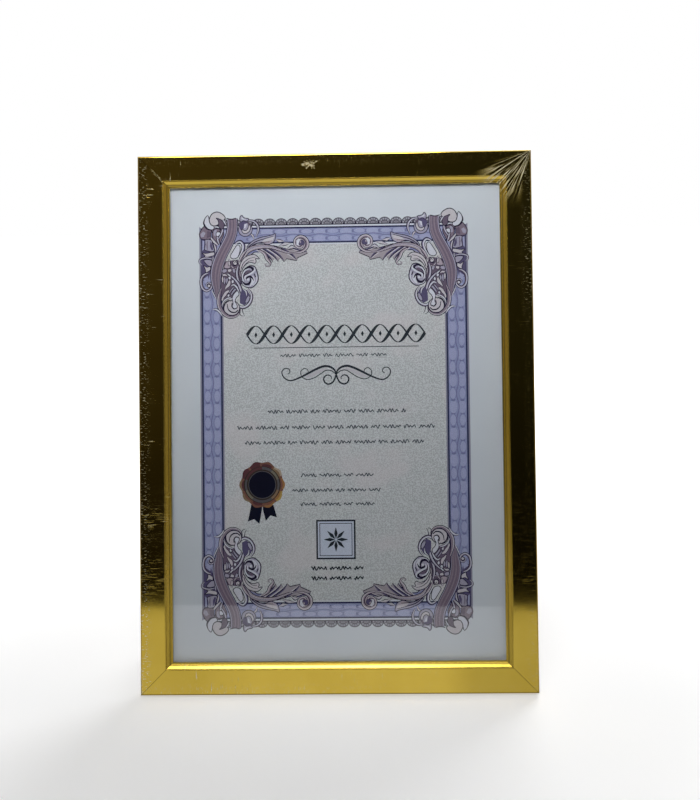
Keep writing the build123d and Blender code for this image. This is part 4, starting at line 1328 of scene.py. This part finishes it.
def wire_ring(name, node, joint, body):
    """D-ring that hangs from its bar: a tube of round wire along the middle of the CAD ring."""
    pivot = Vector(JOINTS[joint]["pos_m"])
    along = Vector(JOINTS[joint]["axis"]).normalized()
    low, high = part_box(node)
    out = (Vector(low) + Vector(high)) / 2 - pivot
    out = (out - along * out.dot(along)).normalized()
    normal = along.cross(out)
    ends = reach(node, along)
    half = (ends[1] - ends[0]) / 2 - WIRE_MIDDLE
    depth = reach(node, out)[1] - pivot.dot(out) - WIRE_MIDDLE
    route = arc((half - RING_BEND, RING_BEND), RING_BEND, -90, 0, BEND_STEPS)
    route += arc((0, depth - half), half, 0, 180, BOW_STEPS)
    route += arc((RING_BEND - half, RING_BEND), RING_BEND, 180, 270, BEND_STEPS)
    made = bmesh.new()
    rings = []
    for index, (x, y) in enumerate(route):
        before = route[index - 1]
        after = route[(index + 1) % len(route)]
        run = Vector((after[0] - before[0], after[1] - before[1])).normalized()
        side = along * run.y - out * run.x
        middle = pivot + along * x + out * y
        ring = []
        for step in range(WIRE_SIDES):
            angle = 2 * math.pi * step / WIRE_SIDES
            offset = side * math.cos(angle) + normal * math.sin(angle)
            ring.append(made.verts.new(middle + offset * WIRE_RADIUS))
        rings.append(ring)
    for near, far in zip(rings, rings[1:] + rings[:1]):
        for step in range(WIRE_SIDES):
            after = (step + 1) % WIRE_SIDES
            made.faces.new((near[step], near[after], far[after], far[step])).smooth = True
    bmesh.ops.recalc_face_normals(made, faces=made.faces)
    add_piece(name, made, [NICKEL], body, node)


wire_ring("wire_ring_top", "hanger_ring_top", "ring_top_swing", "ring_top")
wire_ring("wire_ring_side", "hanger_ring_side", "ring_side_swing", "ring_side")


# Stage: floor, cards that only mirrors see, lamps and world; all in metres

FLOOR_HALF = 6.0
FLOOR_SHADOW = 0.15
FLOOR_CLEAR = 0.55
FLOOR_NEAR_LIFT = 0.5
CARD_DISTANCE = 1.2
CARD_LEFT_LOW = 0.150
CARD_RIGHT_LOW = 0.132
CARD_HIGH = 1.25
CARD_SIDE = 0.75
FOOT_CARD_BACK = -0.02
FOOT_CARD_FRONT = -0.3
FOOT_CARD_RISE = 0.001
TONE_SPAN = (-0.4, 0.3)

# Glow of each card: its tones, then spans of an axis, two places along it and the strengths there
FRONT_GLOW = ([rgb(0.072, 0.062, 0.048), rgb(0.020, 0.022, 0.024)], ("Z", 0.2, 0.75, 0.22, 1.0))
LOW_GLOW = ([WHITE], ("X", -0.26, -0.18, 0.87, 1.0), ("X", 0.11, 0.17, 1.0, 0.75))
SIDE_GLOW = ([rgb(0.30, 0.27, 0.25)], ("Z", 0.0, 0.8, 0.8, 1.2))
ROOF_GLOW = ([rgb(1.0, 0.98, 0.94)], ("Y", -0.5, 0.0, 1.6, 0.75))
FOOT_GLOW = ([rgb(0.55, 0.55, 0.55)], ("Y", FOOT_CARD_FRONT, FOOT_CARD_BACK, 1.5, 0.6))


def plane(name, corners, material):
    """Flat stage piece from four corners."""
    mesh = bpy.data.meshes.new(name)
    mesh.from_pydata(corners, [], [(0, 1, 2, 3)])
    mesh.materials.append(material)
    piece = bpy.data.objects.new(name, mesh)
    bpy.context.scene.collection.objects.link(piece)
    return piece


def floor_finish():
    """Pale floor that shows white farther off and keeps the shadow near the frame."""
    made = Shader("pale_floor")
    place = made.room()
    grain = made.noise(place, 8.0)
    made.set(Base_Color=made.blend(grain, rgb(0.74, 0.74, 0.74), rgb(0.78, 0.78, 0.78)), Roughness=0.9)
    made.set(Specular_IOR_Level=0.0)
    lift = made.span(made.length(place), FLOOR_SHADOW, FLOOR_CLEAR, FLOOR_NEAR_LIFT, 1.0)
    glow = made.out("Emission", WHITE, made.times(made.seen_rays(), lift))
    made.show(made.out("AddShader", made.surface.outputs[0], glow), keep_surface=True)
    return made.material


def card(name, corners, tones, *spans):
    """Card that only mirrors see; two tones change from left to right, and each span grades the glow."""
    made = Shader(name)
    place = made.node("SeparateXYZ", made.room()).outputs
    tone = tones[0] if len(tones) == 1 else made.blend(made.span(place["X"], *TONE_SPAN), *tones)
    strength = made.times(*[made.span(place[axis], *limits) for axis, *limits in spans])
    made.show(made.out("Emission", tone, strength))
    piece = plane(name, corners, made.material)
    piece.visible_camera = False
    piece.visible_diffuse = False
    piece.visible_transmission = False
    piece.visible_shadow = False


def wall(start, end, lows=(0.0, 0.0), highs=(CARD_HIGH, CARD_HIGH)):
    """Corners of an upright card between two places on the floor."""
    return [(*start, lows[0]), (*end, lows[1]), (*end, highs[1]), (*start, highs[0])]


def flat(low, high, z):
    """Corners of a level card from two corners."""
    return [(*corner, z) for corner in box_outline(low, high)]


FRONT_LEFT = (-CARD_SIDE, -CARD_DISTANCE)
FRONT_RIGHT = (CARD_SIDE, -CARD_DISTANCE)
BACK_LEFT = (-CARD_SIDE, CARD_SIDE)
BACK_RIGHT = (CARD_SIDE, CARD_SIDE)
SPLIT = (CARD_LEFT_LOW, CARD_RIGHT_LOW)
FOOT_CORNERS = ((-CARD_SIDE, FOOT_CARD_FRONT), (CARD_SIDE, FOOT_CARD_BACK))
plane("floor", flat((-FLOOR_HALF, -FLOOR_HALF), (FLOOR_HALF, FLOOR_HALF), 0), floor_finish())
card("front_card", wall(FRONT_LEFT, FRONT_RIGHT, lows=SPLIT), *FRONT_GLOW)
card("low_card", wall(FRONT_LEFT, FRONT_RIGHT, highs=SPLIT), *LOW_GLOW)
card("left_card", wall(BACK_LEFT, FRONT_LEFT), *SIDE_GLOW)
card("right_card", wall(FRONT_RIGHT, BACK_RIGHT), *SIDE_GLOW)
card("roof_card", flat(FRONT_LEFT, BACK_RIGHT, CARD_HIGH), *ROOF_GLOW)
card("foot_card", flat(*FOOT_CORNERS, FOOT_CARD_RISE), *FOOT_GLOW)


def lamp(name, place, target, size, power, beam=180, mirrored=True, lights=True):
    """Soft rectangular lamp aimed at a point.

    Beam is in degrees. Mirrors don't show the lamp where mirrored is off, and it gives matt surfaces
    no light where lights is off.
    """
    data = bpy.data.lights.new(name, "AREA")
    data.shape = "RECTANGLE"
    data.size, data.size_y = size
    data.energy = power
    data.spread = math.radians(beam)
    made = bpy.data.objects.new(name, data)
    made.location = place
    made.visible_glossy = mirrored
    made.visible_diffuse = lights
    made.rotation_mode = "QUATERNION"
    made.rotation_quaternion = (Vector(target) - Vector(place)).to_track_quat("-Z", "Y")
    bpy.context.scene.collection.objects.link(made)


lamp("key_lamp", (-0.06, -0.36, 0.78), (-0.02, 0.06, 0.33), (0.3, 0.3), power=0.85, beam=70, lights=False)
lamp("sheet_lamp", (-0.06, -0.62, 0.62), (-0.02, 0.06, 0.39), (0.3, 0.3), power=0.9, beam=70, mirrored=False)
lamp("back_lamp", (0.5, 1.1, 0.9), (0, 0, 0.15), (0.8, 0.8), power=14.0)
lamp("foot_lamp", (0, -0.06, 0.006), (0, -0.01, 0.09), (0.3, 0.06), power=0.028, mirrored=False)

# World: white where it is seen, and dim as a light
WORLD_DIFFUSE = 0.15
world = bpy.data.worlds.new("studio")
world.use_nodes = True
bpy.context.scene.world = world
background = world.node_tree.nodes["Background"]
background.inputs["Color"].default_value = WHITE
kit = Kit(world.node_tree)
kit.feed(background.inputs["Strength"], kit.out("MapRange", kit.seen_rays(), 0.0, 1.0, WORLD_DIFFUSE, 1.0))


# Camera at the photograph's place: angles in degrees, distance in metres, target in mm on the panel's front
VIEW_AZIMUTH = 1.636
VIEW_ELEVATION = 10.272
VIEW_ROLL = -0.994
VIEW_DISTANCE = 0.75
VIEW_LENS = 56.22
VIEW_TARGET = (8.40, 175.66)


def camera():
    """Camera that looks at a point of the panel's front."""
    low = reach("bottom_rail", UP)[0]
    target = RIGHT * (VIEW_TARGET[0] * MM) + UP * (low + VIEW_TARGET[1] * MM) + BACK * MOULDING_FRONT
    azimuth = math.radians(VIEW_AZIMUTH)
    elevation = math.radians(VIEW_ELEVATION)
    level = math.cos(elevation)
    away = Vector((math.sin(azimuth) * level, -math.cos(azimuth) * level, math.sin(elevation)))
    turn = away.to_track_quat("Z", "Y").to_matrix().to_4x4()
    turn = turn @ Matrix.Rotation(math.radians(VIEW_ROLL), 4, "Z")
    data = bpy.data.cameras.new("camera")
    data.lens = VIEW_LENS
    made = bpy.data.objects.new("camera", data)
    made.matrix_world = Matrix.Translation(target + away * VIEW_DISTANCE) @ turn
    bpy.context.scene.collection.objects.link(made)
    bpy.context.scene.camera = made


camera()
bpy.context.scene.view_settings.view_transform = "Standard"
